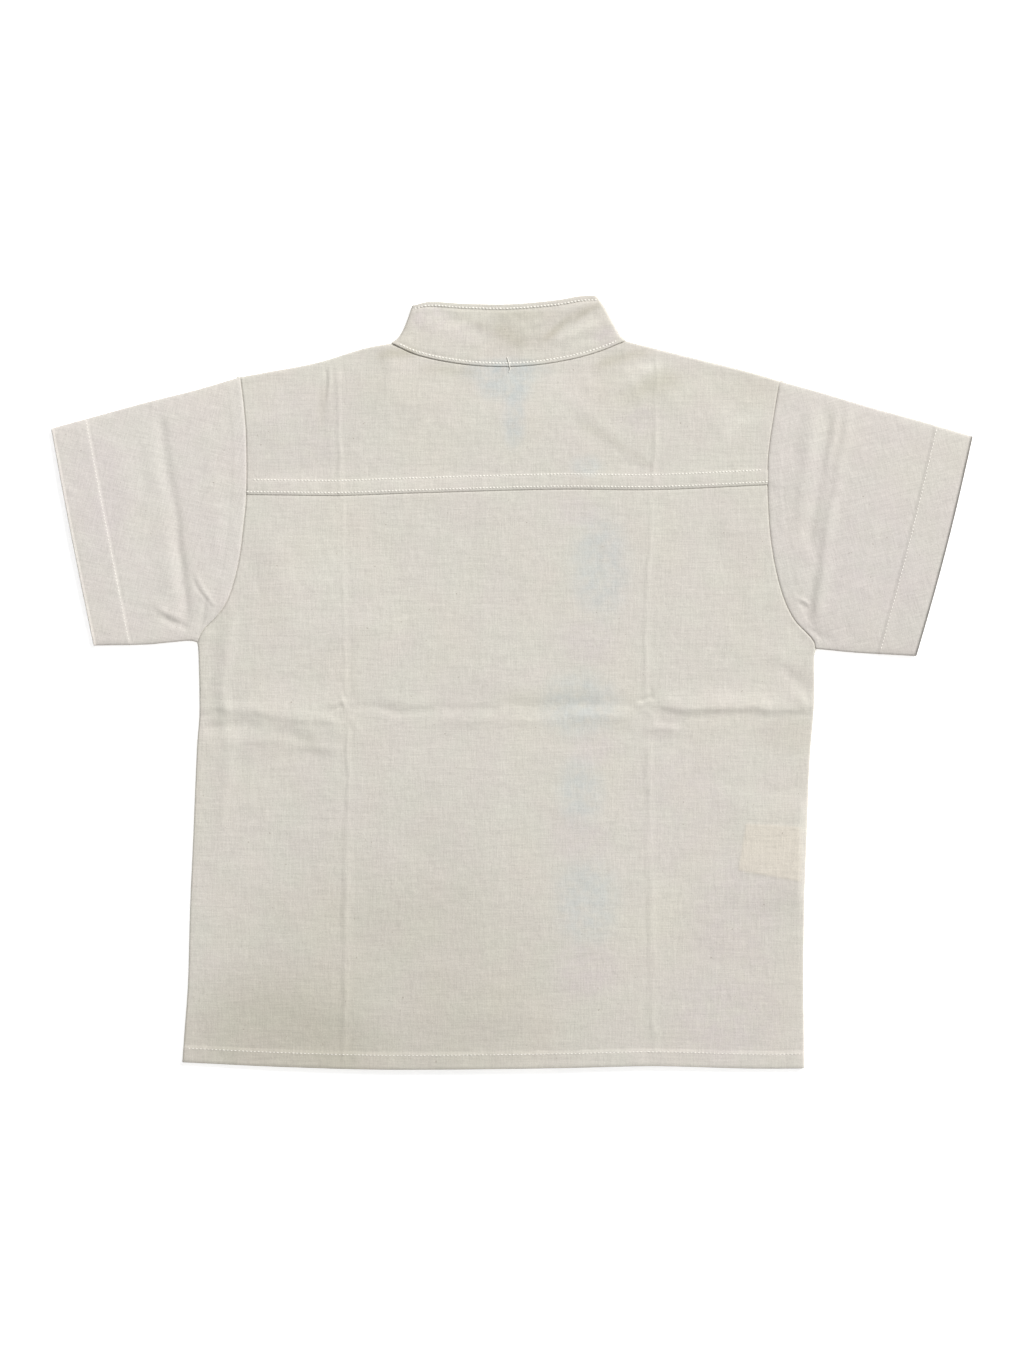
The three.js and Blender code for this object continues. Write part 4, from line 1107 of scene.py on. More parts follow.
# ---- sleeves
@dataclass
class Sleeve:
    """A short set-in sleeve, flattened, with its seam allowance pressed into it and a deep hem."""

    side: Side
    top_edge: Curve
    under_edge: Curve
    top_x: tuple[float, float]
    under_x: tuple[float, float]
    cuff_bow: float
    cuff: float
    coarse: float = 1.6
    fine: float = 0.75
    allowance: float = 7.0
    allowance_rise: float = 0.12
    cuff_thick: float = 0.95
    edge_thick: float = 0.6
    arch: float = 1.2
    arc_steps: int = 8
    flat: tuple[float, float] = (0.102, 0.276)

    def stations(self, length: float) -> Array:
        """Shares of the sleeve's length at which it gets a ring of points.

        Args:
            length: the sleeve's length in millimetres.

        Returns:
            The shares, in order.
        """
        zones = (
            Zone(0.6, 1.2),
            Zone(self.allowance + 0.5, 1.0),
            Zone(length - self.cuff - 0.4, 1.8),
            Zone(length * 0.25, 9),
        )
        return spaced(0, length, self.coarse, self.fine, zones) / length

    def plan(self) -> tuple[Array, Array, Array, Array, float]:
        """Lay the sleeve out from the armhole to its hem.

        Returns:
            x and y of its points (stations x places from shoulder to underarm), the stations, the
            places' shares and the sleeve's length.
        """
        sign = self.side.value
        curve = SIDE_CURVES[self.side]
        column = self.side.column
        high, low = YOKE_ROWS[-1][column], UNDERARM_ROW[column]
        y = spaced(low, high, self.coarse, self.fine, (Zone(low + 12, 14),))[::-1]
        y = np.concatenate((y[:1], y[(y < high - 2.4) & (y > low + 2.4)], y[-1:]))
        slope = np.hypot(1, curve(y + 0.5) - curve(y - 0.5))
        x = curve(y) + sign * 0.15 * slope
        share = (y[0] - y) / (y[0] - y[-1])
        top = (self.top_x[1], float(self.top_edge(self.top_x[1])))
        under = (self.under_x[1], float(self.under_edge(self.under_x[1])))
        length = abs((top[0] + under[0]) / 2 - x[0])
        a = self.stations(length)[:, None]
        reach = np.hypot(mix(top[0], under[0], share) - x, mix(top[1], under[1], share) - y)
        near, far = self.allowance + 3, self.cuff + 3
        between = (a * length - near) / (length - far - near)
        along = np.where(between < 0, a * length, mix(near, reach - far, between))
        f = np.where(between > 1, reach - length * (1 - a), along) / reach
        place = []
        for key in (0, 1):
            arm = (x, y)[key]
            straight = mix(arm, mix(top[key], under[key], share), f)
            top_x, under_x = mix(*self.top_x, f[:, 0]), mix(*self.under_x, f[:, -1])
            top_at = top_x if key == 0 else self.top_edge(top_x)
            under_at = under_x if key == 0 else self.under_edge(under_x)
            top_error = (top_at - mix(arm[0], top[key], f[:, 0]))[:, None]
            under_error = (under_at - mix(arm[-1], under[key], f[:, -1]))[:, None]
            bow = sign * self.cuff_bow * a * np.sin(math.pi * share) if key == 0 else 0.0
            place.append(straight + bow + a**0.25 * mix(top_error, under_error, share))
        return place[0], place[1], a, share, length

    def build(self) -> Piece:
        """Make the sleeve's cloth as a flattened tube.

        Returns:
            The piece.
        """
        x, y, a, share, length = self.plan()
        cuff = smooth((a * length - length + self.cuff + 0.9) / 0.9)
        edge = EDGE_HEIGHT + HEM_RISE * cuff
        own = self.arch * (4 * share * (1 - share)) ** 0.7
        column = self.side.column
        yoke_low = YOKE_ROWS[0][column]
        as_back = back_height(x[0], y[0]) - EDGE_HEIGHT + 0.3 * smooth((y[0] - yoke_low + 1) / 2)
        band = self.allowance_rise * (1 - smooth((a * length - self.allowance + 0.4) / 1.1))
        near = smooth(1 - a / 0.14)
        slack = 0.09 * ripples(x, y, 34, 31 + column) + 0.03 * ripples(x, y, 13, 41 + column)
        inside = smooth(share * 12) * smooth((1 - share) * 12)
        groove = -0.20 * np.exp(-(((a * length - length + self.cuff + 0.5) / 0.6) ** 2))
        lip = -0.28 * (1 - smooth(a * length / 1.1)) - 0.16 * smooth((a * length - length + 1.5) / 1.4)
        relief = fold_height(SLEEVE_FOLDS[self.side], x, y) + slack
        upper = edge + mix(as_back, own, smooth(a / 0.25)) + band + groove + lip
        upper = upper + relief * inside * (1 - 0.6 * near) + near * 0.6 * back_relief(x[0], y[0])
        under = np.zeros_like(x) + 0.04 * (1 + ripples(x, y, 30, 51 + column)) * inside * (1 - cuff)
        middle = slice(1, -1)
        ring = [np.stack((x, y, under), axis=2)[:, middle]]
        ring.append(self.arc(x[:, -1], y[:, -1], x[:, -2], y[:, -2], edge[:, 0], 1))
        ring.append(np.stack((x, y, upper), axis=2)[:, middle][:, ::-1])
        ring.append(self.arc(x[:, 0], y[:, 0], x[:, 1], y[:, 1], edge[:, 0], -1))
        outer = np.concatenate(ring, axis=1)
        at_arm = mix(self.edge_thick, CLOTH, smooth((a * length - self.allowance) / 1.5))
        thick = np.maximum(mix(CLOTH, self.cuff_thick, cuff), at_arm)
        thick = np.repeat(thick, outer.shape[1], axis=1)
        if self.side is Side.RIGHT:
            outer = outer[:, ::-1]
        return shell(f"sleeve_{self.side.name.lower()}_cloth", outer, thick, ring=True)

    def arc(self, x: Array, y: Array, next_x: Array, next_y: Array, height: Array, turn: int) -> Array:
        """Round one folded edge of the tube on every ring.

        Args:
            x: the edge's places across.
            y: the edge's places up.
            next_x: the neighbouring column's places across.
            next_y: the neighbouring column's places up.
            height: the tube's height there.
            turn: 1 from below to above, -1 from above to below.

        Returns:
            Stations x points x 3.
        """
        run, rise = next_x - x, next_y - y
        reach = np.hypot(run, rise)
        radius = (height / 2)[:, None]
        angle = turn * math.pi * (np.arange(self.arc_steps + 1) / self.arc_steps - 0.5)
        inward = radius * (1 - np.cos(angle))
        return np.stack(
            (
                x[:, None] + (run / reach)[:, None] * inward,
                y[:, None] + (rise / reach)[:, None] * inward,
                radius + radius * np.sin(angle),
            ),
            axis=2,
        )


# ---- collar
@dataclass
class Collar:
    """A stand collar, doubled, folded flat at both sides of the neck."""

    wall: float = 1.6
    thick: float = 1.05
    seam_lift: float = 0.45
    seam_x: float = 4.0
    top_x: float = 5.4
    top_y: float = 176.5
    rows: int = 25
    flat: tuple[float, float] = (0.252, 0.034)

    def build(self) -> Piece:
        """Make the collar's cloth as one strip from the left front end to the right one.

        Returns:
            The piece.
        """
        low, high = [0, 0.012, 0.028, 0.042, 0.056, 0.072, 0.09], [0.9, 0.912, 0.924, 0.938, 0.955, 0.975, 1]
        up = np.concatenate((low, np.linspace(0.115, 0.88, self.rows), high))[:, None]
        top = 2 * self.wall + 0.3 + self.seam_lift * (1 - up)
        radius = top / 2
        turn = {side: self.fold(side, up, radius) for side in Side}
        bands = {side: self.front_band(side, up, turn[side]) for side in Side}
        arcs = {side: self.turned_edge(side, up, radius, turn[side]) for side in Side}
        back = self.back_band(up, top, turn)
        left, right = Side.LEFT, Side.RIGHT
        line = (bands[left], arcs[left], back, arcs[right][:, ::-1], bands[right][:, ::-1])
        return shell("collar_cloth", np.concatenate(line, axis=1), self.thick, round_steps=3)

    def fold(self, side: Side, up: Array, radius: Array) -> tuple[Array, Array]:
        """Place the fold at one side of the neck.

        Args:
            side: which side.
            up: shares of the collar's depth, one row each.
            radius: half the collar's height there.

        Returns:
            x and y of the line where the front band meets the fold.
        """
        x = COLLAR_FOLD_X[side](up) - side.value * radius
        return x, COLLAR_FOLD_Y[side](up) - 0.9 * (1 - up) ** 2

    def front_band(self, side: Side, up: Array, turn: tuple[Array, Array]) -> Array:
        """Lay out the band from the middle of the front to a fold.

        Args:
            side: which side.
            up: shares of the collar's depth, one row each.
            turn: where the band meets its fold.

        Returns:
            Rows x columns x 3 points.
        """
        x, y = turn
        t = np.linspace(0, 1, 36)[None, :]
        seam_x = mix(CENTRE_X + side.value * self.seam_x, x[0, 0], t)
        seam_y = mix(FRONT_NECK(seam_x) + 0.3, y[0, 0], t**4)
        top_x = mix(CENTRE_X + side.value * self.top_x, x[-1, 0], t)
        top_y = mix(self.top_y, y[-1, 0], t)
        error_x = x - mix(x[0, 0], x[-1, 0], up)
        error_y = y - mix(y[0, 0], y[-1, 0], up)
        across = mix(seam_x, top_x, up) + t * error_x
        return np.stack((across, mix(seam_y, top_y, up) + t * error_y, 0 * up * t), axis=2)

    def turned_edge(self, side: Side, up: Array, radius: Array, turn: tuple[Array, Array]) -> Array:
        """Round the fold at one side, from below to above.

        Args:
            side: which side.
            up: shares of the collar's depth, one row each.
            radius: half the collar's height there.
            turn: where the front band meets the fold.

        Returns:
            Rows x columns x 3 points.
        """
        x, y = turn
        angle = (math.pi * (np.linspace(0, 1, 11)[1:-1] - 0.5))[None, :]
        across = x + side.value * radius * np.cos(angle)
        along = mix(y, COLLAR_FOLD_Y[side](up), np.cos(angle))
        return np.stack((across, along, radius + radius * np.sin(angle)), axis=2)

    def back_band(self, up: Array, top: Array, turn: dict[Side, tuple[Array, Array]]) -> Array:
        """Lay out the band behind the neck.

        Args:
            up: shares of the collar's depth, one row each.
            top: heights of its outer face there.
            turn: where the band meets its folds.

        Returns:
            Rows x columns x 3 points.
        """
        t = np.linspace(0, 1, 92)[None, :]
        (left_x, left_y), (right_x, right_y) = turn[Side.LEFT], turn[Side.RIGHT]
        seam = BACK_NECK(mix(left_x[0, 0], right_x[0, 0], t)) + 0.15
        head = COLLAR_TOP(mix(left_x[-1, 0], right_x[-1, 0], t))
        y = mix(seam, head, up)
        x = mix(left_x, right_x, t)
        y = y + (1 - t) ** 3 * (left_y - y[:, :1]) + t**3 * (right_y - y[:, -1:])
        inside = smooth(t * 14) * smooth((1 - t) * 14) * smooth(up * 7) * smooth((1 - up) * 9)
        puffs = 0.08 * ripples(x, y, 15, 61) + 0.05 * ripples(x * 1.6, y, 8, 63)
        groove = -0.14 * np.exp(-(((up - 0.056) / 0.018) ** 2)) - 0.30 * np.exp(-(((up - 0.912) / 0.020) ** 2))
        z = top + (fold_height(COLLAR_FOLDS, x, y) + puffs) * inside + groove
        return np.stack((x, y, z), axis=2)


# ---- small pieces
@dataclass
class CareLabel:
    """A small blank label of woven tape, caught in the side seam between the back and the front."""

    low: float = 1.45
    thick: float = 0.5
    cells: int = 16
    flat: tuple[float, float] = (0.0308, 0.0292)

    def build(self) -> Piece:
        """Make the label with a soft wave in it.

        Returns:
            The piece.
        """
        corner = np.array(CARE_LABEL, float)
        u, v = np.meshgrid(np.linspace(0, 1, self.cells), np.linspace(0, 1, self.cells))
        u, v = u[..., None], v[..., None]
        flat = mix(mix(corner[0], corner[1], u), mix(corner[3], corner[2], u), v)
        wave = 0.12 * np.sin(u * 3.4 + 0.6) * np.sin(v * 4.1 + 1.0)
        return shell("care_label_tape", np.concatenate((flat, self.low + self.thick + wave), axis=2), self.thick)


@dataclass
class Button:
    """A four-holed shell button: a turned rim round a thinner middle."""

    number: int
    radius: float = 4.75
    height: float = 1.2
    dish: float = 3.3
    hole: float = 0.62
    hole_offset: float = 1.15

    def centre(self) -> tuple[float, float]:
        """Its place on the button strip."""
        return CENTRE_X, BUTTON_TOP_Y - (self.number - 1) * BUTTON_PITCH

    def rim(self) -> tuple[Array, Array]:
        """Points and faces of the turned rim, closed all round."""
        half = self.height / 2
        profile = [
            (self.dish, half * 0.72), (self.dish, -half * 0.62), (self.dish + 0.22, -half * 0.9),
            (self.dish + 0.6, -half), (self.radius - 0.5, -half), (self.radius - 0.14, -half * 0.74),
            (self.radius, -half * 0.2), (self.radius - 0.06, half * 0.4), (self.radius - 0.4, half * 0.9),
            (self.radius - 0.8, half), (self.dish + 0.3, half * 0.94),
        ]
        around = 40
        angle = np.arange(around) * 2 * math.pi / around
        r = np.array([p[0] for p in profile])[None, :]
        z = np.array([p[1] for p in profile])[None, :]
        x, y = r * np.cos(angle)[:, None], r * np.sin(angle)[:, None]
        points = np.stack((x, y, np.broadcast_to(z, x.shape)), axis=2).reshape(-1, 3)
        at = np.arange(len(points)).reshape(around, len(profile))
        nxt, side = np.roll(at, -1, axis=0), np.roll(at, -1, axis=1)
        both = np.roll(nxt, -1, axis=1)
        return points, np.stack((at, nxt, both, side), axis=2).reshape(-1, 4)

    def middle(self) -> Piece:
        """The thin middle with its four holes, as a filled and bevelled flat curve made a mesh."""
        data = bpy.data.curves.new("button_middle", "CURVE")
        data.dimensions, data.fill_mode = "2D", "BOTH"
        data.extrude, data.bevel_depth, data.bevel_resolution = 0.16 * MM, 0.12 * MM, 2
        data.resolution_u = 8
        rounds = [(0.0, 0.0, self.dish + 0.05)]
        o = self.hole_offset
        rounds += [(sx * o, sy * o, self.hole + 0.12) for sx in (-1, 1) for sy in (-1, 1)]
        for cx, cy, radius in rounds:
            spline = data.splines.new("BEZIER")
            spline.bezier_points.add(3)
            spline.use_cyclic_u = True
            for k, point in enumerate(spline.bezier_points):
                angle = k * math.pi / 2
                away = Vector((math.cos(angle), math.sin(angle), 0))
                along = Vector((-away.y, away.x, 0)) * CIRCLE_HANDLE * radius * MM
                point.co = (Vector((cx, cy, 0)) + away * radius) * MM
                point.handle_left, point.handle_right = point.co - along, point.co + along
        return linked("button_middle", data)

    def build(self) -> Piece:
        """Join the rim and the middle at the button's place.

        Returns:
            The piece.
        """
        mesh = as_mesh(self.middle())
        points, faces = self.rim()
        cx, cy = self.centre()
        whole = mesh_object(f"button_{self.number}_shell", points + np.array([cx, cy, self.height / 2]), faces)
        offset = (np.array([cx, cy, self.height / 2 + 0.06]) + FrameShift.value) * MM
        thin = linked("button_thin", mesh)
        mesh.transform(Matrix.Translation(Vector(offset)))
        return joined(whole, [thin])


def joined(first: Piece, others: list[Piece]) -> Piece:
    """Join meshes into one object.

    Args:
        first: the object that stays.
        others: the objects whose meshes go into it.

    Returns:
        The first object.
    """
    with bpy.context.temp_override(active_object=first, selected_editable_objects=[first, *others], object=first):
        bpy.ops.object.join()
    return first


# ---- finishes
class NodeTree:
    """A node tree with short ways to add and join nodes."""

    tree: bpy.types.NodeTree

    def add(self, kind: str, **settings: object) -> bpy.types.Node:
        """Add a node and set its properties.

        Args:
            kind: the node's type.
            settings: its properties.

        Returns:
            The node.
        """
        node = self.tree.nodes.new(kind)
        for key, value in settings.items():
            setattr(node, key, value)
        return node

    def join(self, source: object, target: Socket) -> None:
        """Link a socket, or set a constant.

        Args:
            source: a socket, or a value.
            target: the socket that gets it.
        """
        if isinstance(source, Socket):
            self.tree.links.new(source, target)
        else:
            target.default_value = source


class Nodes(NodeTree):
    """A material's node tree, with its usual nodes."""

    def __init__(self, name: str) -> None:
        """Start a material with its output and its surface shader.

        Args:
            name: the material's name.
        """
        self.material = bpy.data.materials.new(name)
        self.material.use_nodes = True
        self.tree = self.material.node_tree
        self.tree.nodes.clear()
        output = self.add("ShaderNodeOutputMaterial")
        self.shader = self.add("ShaderNodeBsdfPrincipled")
        self.join(self.shader.outputs[0], output.inputs["Surface"])

    def math(self, operation: str, *values: object) -> Socket:
        """Add a Math node and return its result.

        Args:
            operation: what the node works out.
            values: sockets or numbers.

        Returns:
            The result.
        """
        node = self.add("ShaderNodeMath", operation=operation)
        for value, socket in zip(values, node.inputs):
            self.join(value, socket)
        return node.outputs[0]

    def blend(self, factor: object, a: object, b: object, kind: str = "MIX") -> Socket:
        """Mix two colours and return the result.

        Args:
            factor: share of the second colour.
            a: first colour.
            b: second colour.
            kind: way of mixing.

        Returns:
            The mixed colour.
        """
        node = self.add("ShaderNodeMix", data_type="RGBA", blend_type=kind)
        self.join(factor, node.inputs[0])
        self.join(a, node.inputs[6])
        self.join(b, node.inputs[7])
        return node.outputs[2]

    def place(self, scale: tuple[float, float, float], turn: float = 0.0) -> Socket:
        """Object coordinates in millimetres, turned about Z and scaled on each axis.

        Args:
            scale: cells to a millimetre on each axis.
            turn: turn about Z in radians.

        Returns:
            The coordinates.
        """
        turned = self.add("ShaderNodeMapping")
        coordinates = self.add("ShaderNodeTexCoord")
        self.join(coordinates.outputs["Object"], turned.inputs["Vector"])
        turned.inputs["Rotation"].default_value = (0, 0, turn)
        scaled = self.add("ShaderNodeMapping")
        self.join(turned.outputs[0], scaled.inputs["Vector"])
        scaled.inputs["Scale"].default_value = tuple(s / MM for s in scale)
        return scaled.outputs[0]

    def noise(self, vector: object, detail: float = 2.0, rough: float = 0.5) -> Socket:
        """A noise of one unit's size at the given place, from about 0.25 to 0.75.

        Args:
            vector: where to read the noise.
            detail: its finer layers.
            rough: strength of the finer layers.

        Returns:
            The value.
        """
        node = self.add("ShaderNodeTexNoise")
        self.join(vector, node.inputs["Vector"])
        node.inputs["Scale"].default_value = 1.0
        node.inputs["Detail"].default_value = detail
        node.inputs["Roughness"].default_value = rough
        return node.outputs["Fac"]

    def span(self, value: object, low: float, high: float, out: tuple[float, float] = (0, 1)) -> Socket:
        """Map a range of values to another, clamped.

        Args:
            value: what to map.
            low: start of its range.
            high: end of its range.
            out: the range that it is mapped to.

        Returns:
            The mapped value.
        """
        node = self.add("ShaderNodeMapRange")
        self.join(value, node.inputs["Value"])
        for name, number in zip(("From Min", "From Max", "To Min", "To Max"), (low, high, *out)):
            node.inputs[name].default_value = number
        return node.outputs[0]

    def bump(self, height: object, strength: float, distance: float) -> None:
        """Give the surface a fine relief; distance is in millimetres.

        Args:
            height: the relief, from 0 to 1.
            strength: share of it that shows.
            distance: height of one unit in millimetres.
        """
        node = self.add("ShaderNodeBump")
        node.inputs["Strength"].default_value = strength
        node.inputs["Distance"].default_value = distance * MM
        self.join(height, node.inputs["Height"])
        self.join(node.outputs[0], self.shader.inputs["Normal"])


# yarns of the weave: cells to a millimetre on each axis, roughness and share
YARNS = (
    ((2.3, 0.13, 0.13), 0.6, 0.42),
    ((0.11, 2.1, 0.13), 0.6, 0.38),
    ((1.5, 1.5, 1.5), 0.7, 0.54),
    ((0.05, 0.62, 0.1), 0.6, 0.14),
)
LILAC_CAST, GREEN_CAST, WARM_CAST = (0.992, 0.976, 0.985), (0.987, 0.995, 0.985), (1.03, 1.0, 0.955)
BLUE_CAST, VIOLET_CAST, CREAM_CAST = (0.85, 0.93, 1.01), (0.97, 0.92, 1.0), (1.08, 1.04, 0.995)
# The first cast on the next line warms the deepest painted shade; the second colour is that of seed flecks.
PAINTED_SHADE_CAST, SEED_FLECK = (1.01, 1.0, 0.94, 1), (0.24, 0.19, 0.15, 1)
BORDER_X, BORDER_PITCH, BORDER_RAIL = 38.0, 34.0, 16.5
BORDER_LOW, BORDER_HIGH, BORDER_END = -168.0, 118.0, 2.0
WASHED_BLUE, WASHED_LILAC = (0.27, 0.40, 0.52, 1), (0.44, 0.36, 0.50, 1)


@dataclass(frozen=True)
class Cotton:
    """Raw unbleached cotton: slubs both ways, a fine uneven weave, soft mottling, a few seed flecks, and painted
    shade and light.
    """

    name: str
    base: tuple[float, float, float]
    turn: float = 0.0
    border: bool = False

    def cast(self, factors: tuple[float, float, float]) -> tuple[float, ...]:
        """The cloth's own colour with each part changed by its factor."""
        return (*(part * factor for part, factor in zip(self.base, factors)), 1)

    def weave(self, n: Nodes) -> Socket:
        """Add up the yarns of the weave.

        Args:
            n: the material's nodes.

        Returns:
            The weave's height, about 0.55 to 0.93.
        """
        yarns = [
            n.math("MULTIPLY", n.noise(n.place(cells, self.turn), 2.0, rough), share) for cells, rough, share in YARNS
        ]
        total = yarns[0]
        for yarn in yarns[1:]:
            total = n.math("ADD", total, yarn)
        return total

    def material(self) -> bpy.types.Material:
        """Build the material.

        Returns:
            The material, for every cloth piece of one cut direction.
        """
        n = Nodes(self.name)
        weave = self.weave(n)
        cloudy = n.noise(n.place((0.045, 0.05, 0.05)), 2.0, 0.55)
        patch = n.noise(n.place((0.028, 0.021, 0.02)), 2.0, 0.5)
        colour = n.blend(n.span(cloudy, 0.36, 0.64), self.cast(LILAC_CAST), self.cast(GREEN_CAST))
        colour = n.blend(n.span(patch, 0.46, 0.72, (0, 0.3)), colour, self.cast(WARM_CAST))
        tint = n.add("ShaderNodeAttribute", attribute_name="tint", attribute_type="GEOMETRY")
        parts = n.add("ShaderNodeSeparateColor")
        n.join(tint.outputs["Color"], parts.inputs[0])
        ragged = n.span(n.noise(n.place((0.16, 0.16, 0.16)), 3.0, 0.6), 0.34, 0.62, (0.35, 1.0))
        for mask, factors in enumerate((BLUE_CAST, VIOLET_CAST, CREAM_CAST)):
            strength = n.math("MULTIPLY", parts.outputs[mask], ragged) if mask < 2 else parts.outputs[mask]
            colour = n.blend(strength, colour, self.cast(factors))
        if self.border:
            colour = self.embroider(n, colour)
        # The weave's height also darkens the colour where the yarns lie low and lightens it where they lie high:
        # partly the yarns' uneven tone, partly painted shade and highlight.
        depth = n.span(weave, 0.55, 0.93, (0.865, 1.125))
        colour = n.blend(1.0, colour, depth, "MULTIPLY")
        # The attribute's fourth part is painted shade and light, multiplied into the colour; where that painted shade
        # is deep it also turns warmer.
        colour = n.blend(1.0, colour, n.span(tint.outputs["Alpha"], 0, 1, (0, 1)), "MULTIPLY")
        deep_painted_shade = n.span(tint.outputs["Alpha"], 0.94, 0.76)
        colour = n.blend(deep_painted_shade, colour, n.blend(1.0, colour, PAINTED_SHADE_CAST, "MULTIPLY"))
        fleck = n.span(n.noise(n.place((0.85, 0.62, 0.7), self.turn), 1.0, 0.4), 0.785, 0.81)
        colour = n.blend(n.math("MULTIPLY", fleck, 0.5), colour, SEED_FLECK)
        n.join(colour, n.shader.inputs["Base Color"])
        n.shader.inputs["Roughness"].default_value = 0.93
        n.shader.inputs["Specular IOR Level"].default_value = 0.22
        n.shader.inputs["Sheen Weight"].default_value = 0.12
        n.shader.inputs["Sheen Roughness"].default_value = 0.6
        crumple = n.noise(n.place((0.21, 0.19, 0.2)), 3.0, 0.55)
        n.bump(n.math("ADD", n.math("MULTIPLY", weave, 0.07), n.math("MULTIPLY", crumple, 0.24)), 1.0, 1.0)
        return n.material

    def embroider(self, n: Nodes, colour: object) -> Socket:
        """Work the washed blue and lilac border of lozenges into a front's colour.

        Args:
            n: the material's nodes.
            colour: the cloth's colour so far.

        Returns:
            The colour with the border.
        """
        axis = n.add("ShaderNodeSeparateXYZ")
        n.join(n.place((1, 1, 1)), axis.inputs[0])
        x = n.math("SUBTRACT", axis.outputs[0], BORDER_X)
        phase = n.math("PINGPONG", n.math("ADD", axis.outputs[1], 400.0), BORDER_PITCH / 2)
        wide = n.math("MULTIPLY", phase, 0.82)
        lozenge = n.math("SUBTRACT", wide, n.math("ABSOLUTE", x))
        rail = n.math("SUBTRACT", 0.7, n.math("ABSOLUTE", n.math("SUBTRACT", n.math("ABSOLUTE", x), BORDER_RAIL)))
        rails = n.span(rail, -0.15, 0.15)
        low = n.span(axis.outputs[1], BORDER_LOW, BORDER_LOW + BORDER_END)
        high = n.span(axis.outputs[1], BORDER_HIGH, BORDER_HIGH + BORDER_END, (1, 0))
        shown = n.math("MULTIPLY", low, high)
        thread = n.span(n.noise(n.place((1.2, 0.4, 1.0)), 2.0, 0.6), 0.3, 0.7, (0.72, 1.0))
        shown = n.math("MULTIPLY", shown, thread)
        for inset, soft, yarn in ((0.0, 0.4, WASHED_BLUE), (4.2, 0.3, WASHED_LILAC), (8.2, 0.3, WASHED_BLUE)):
            layer = n.span(n.math("SUBTRACT", lozenge, inset), -soft, soft)
            colour = n.blend(n.math("MULTIPLY", layer, shown), colour, yarn)
        return n.blend(n.math("MULTIPLY", rails, shown), colour, WASHED_BLUE)


@dataclass(frozen=True)
class Plain:
    """A plain finish with a fine grain: thread, label tape, shell or the table."""

    name: str
    base: tuple[float, float, float]
    vary: float
    grain: tuple[float, float, float]
    roughness: float
    relief: float
    glow: float = 0.0
    sheen: float = 0.0
    coat: float = 0.0

    def material(self) -> bpy.types.Material:
        """Build the material.

        Returns:
            The material.
        """
        n = Nodes(self.name)
        grain = n.noise(n.place(self.grain), 3.0, 0.6)
        light = tuple(min(1.0, c * (1 + self.vary)) for c in self.base)
        dark = tuple(c * (1 - self.vary) for c in self.base)
        colour = n.blend(n.span(grain, 0.3, 0.7), (*dark, 1), (*light, 1))
        n.join(colour, n.shader.inputs["Base Color"])
        n.shader.inputs["Roughness"].default_value = self.roughness
        n.shader.inputs["Sheen Weight"].default_value = self.sheen
        n.shader.inputs["Coat Weight"].default_value = self.coat
        if self.glow:
            n.shader.inputs["Emission Color"].default_value = (1, 1, 1, 1)
            n.shader.inputs["Emission Strength"].default_value = self.glow
        if self.relief:
            n.bump(grain, 0.5, self.relief)
        return n.material


RAW = (0.658, 0.629, 0.567)
BODY_COTTON = Cotton("raw_cotton_body", RAW)
FRONT_COTTON = Cotton("raw_cotton_front", RAW, border=True)
LEFT_SLEEVE_COTTON = Cotton("raw_cotton_left_sleeve", (0.672, 0.638, 0.590), turn=0.24)
RIGHT_SLEEVE_COTTON = Cotton("raw_cotton_right_sleeve", (0.672, 0.638, 0.590), turn=-0.24)
COLLAR_COTTON = Cotton("raw_cotton_collar", (0.661, 0.632, 0.566))
THREAD = Plain("cream_thread", (0.88, 0.85, 0.78), 0.07, (3.0, 3.0, 3.0), 0.6, 0.05, sheen=0.1)
TAPE = Plain("label_tape", (0.74, 0.70, 0.60), 0.05, (0.3, 2.6, 1.0), 0.7, 0.05)
SHELL_FINISH = Plain("river_shell", (0.78, 0.74, 0.66), 0.06, (0.35, 0.6, 0.5), 0.28, 0.0, coat=0.3)
TABLE = Plain("pale_table", (0.94, 0.94, 0.94), 0.004, (0.02, 0.02, 0.02), 0.9, 0.0, glow=0.5)


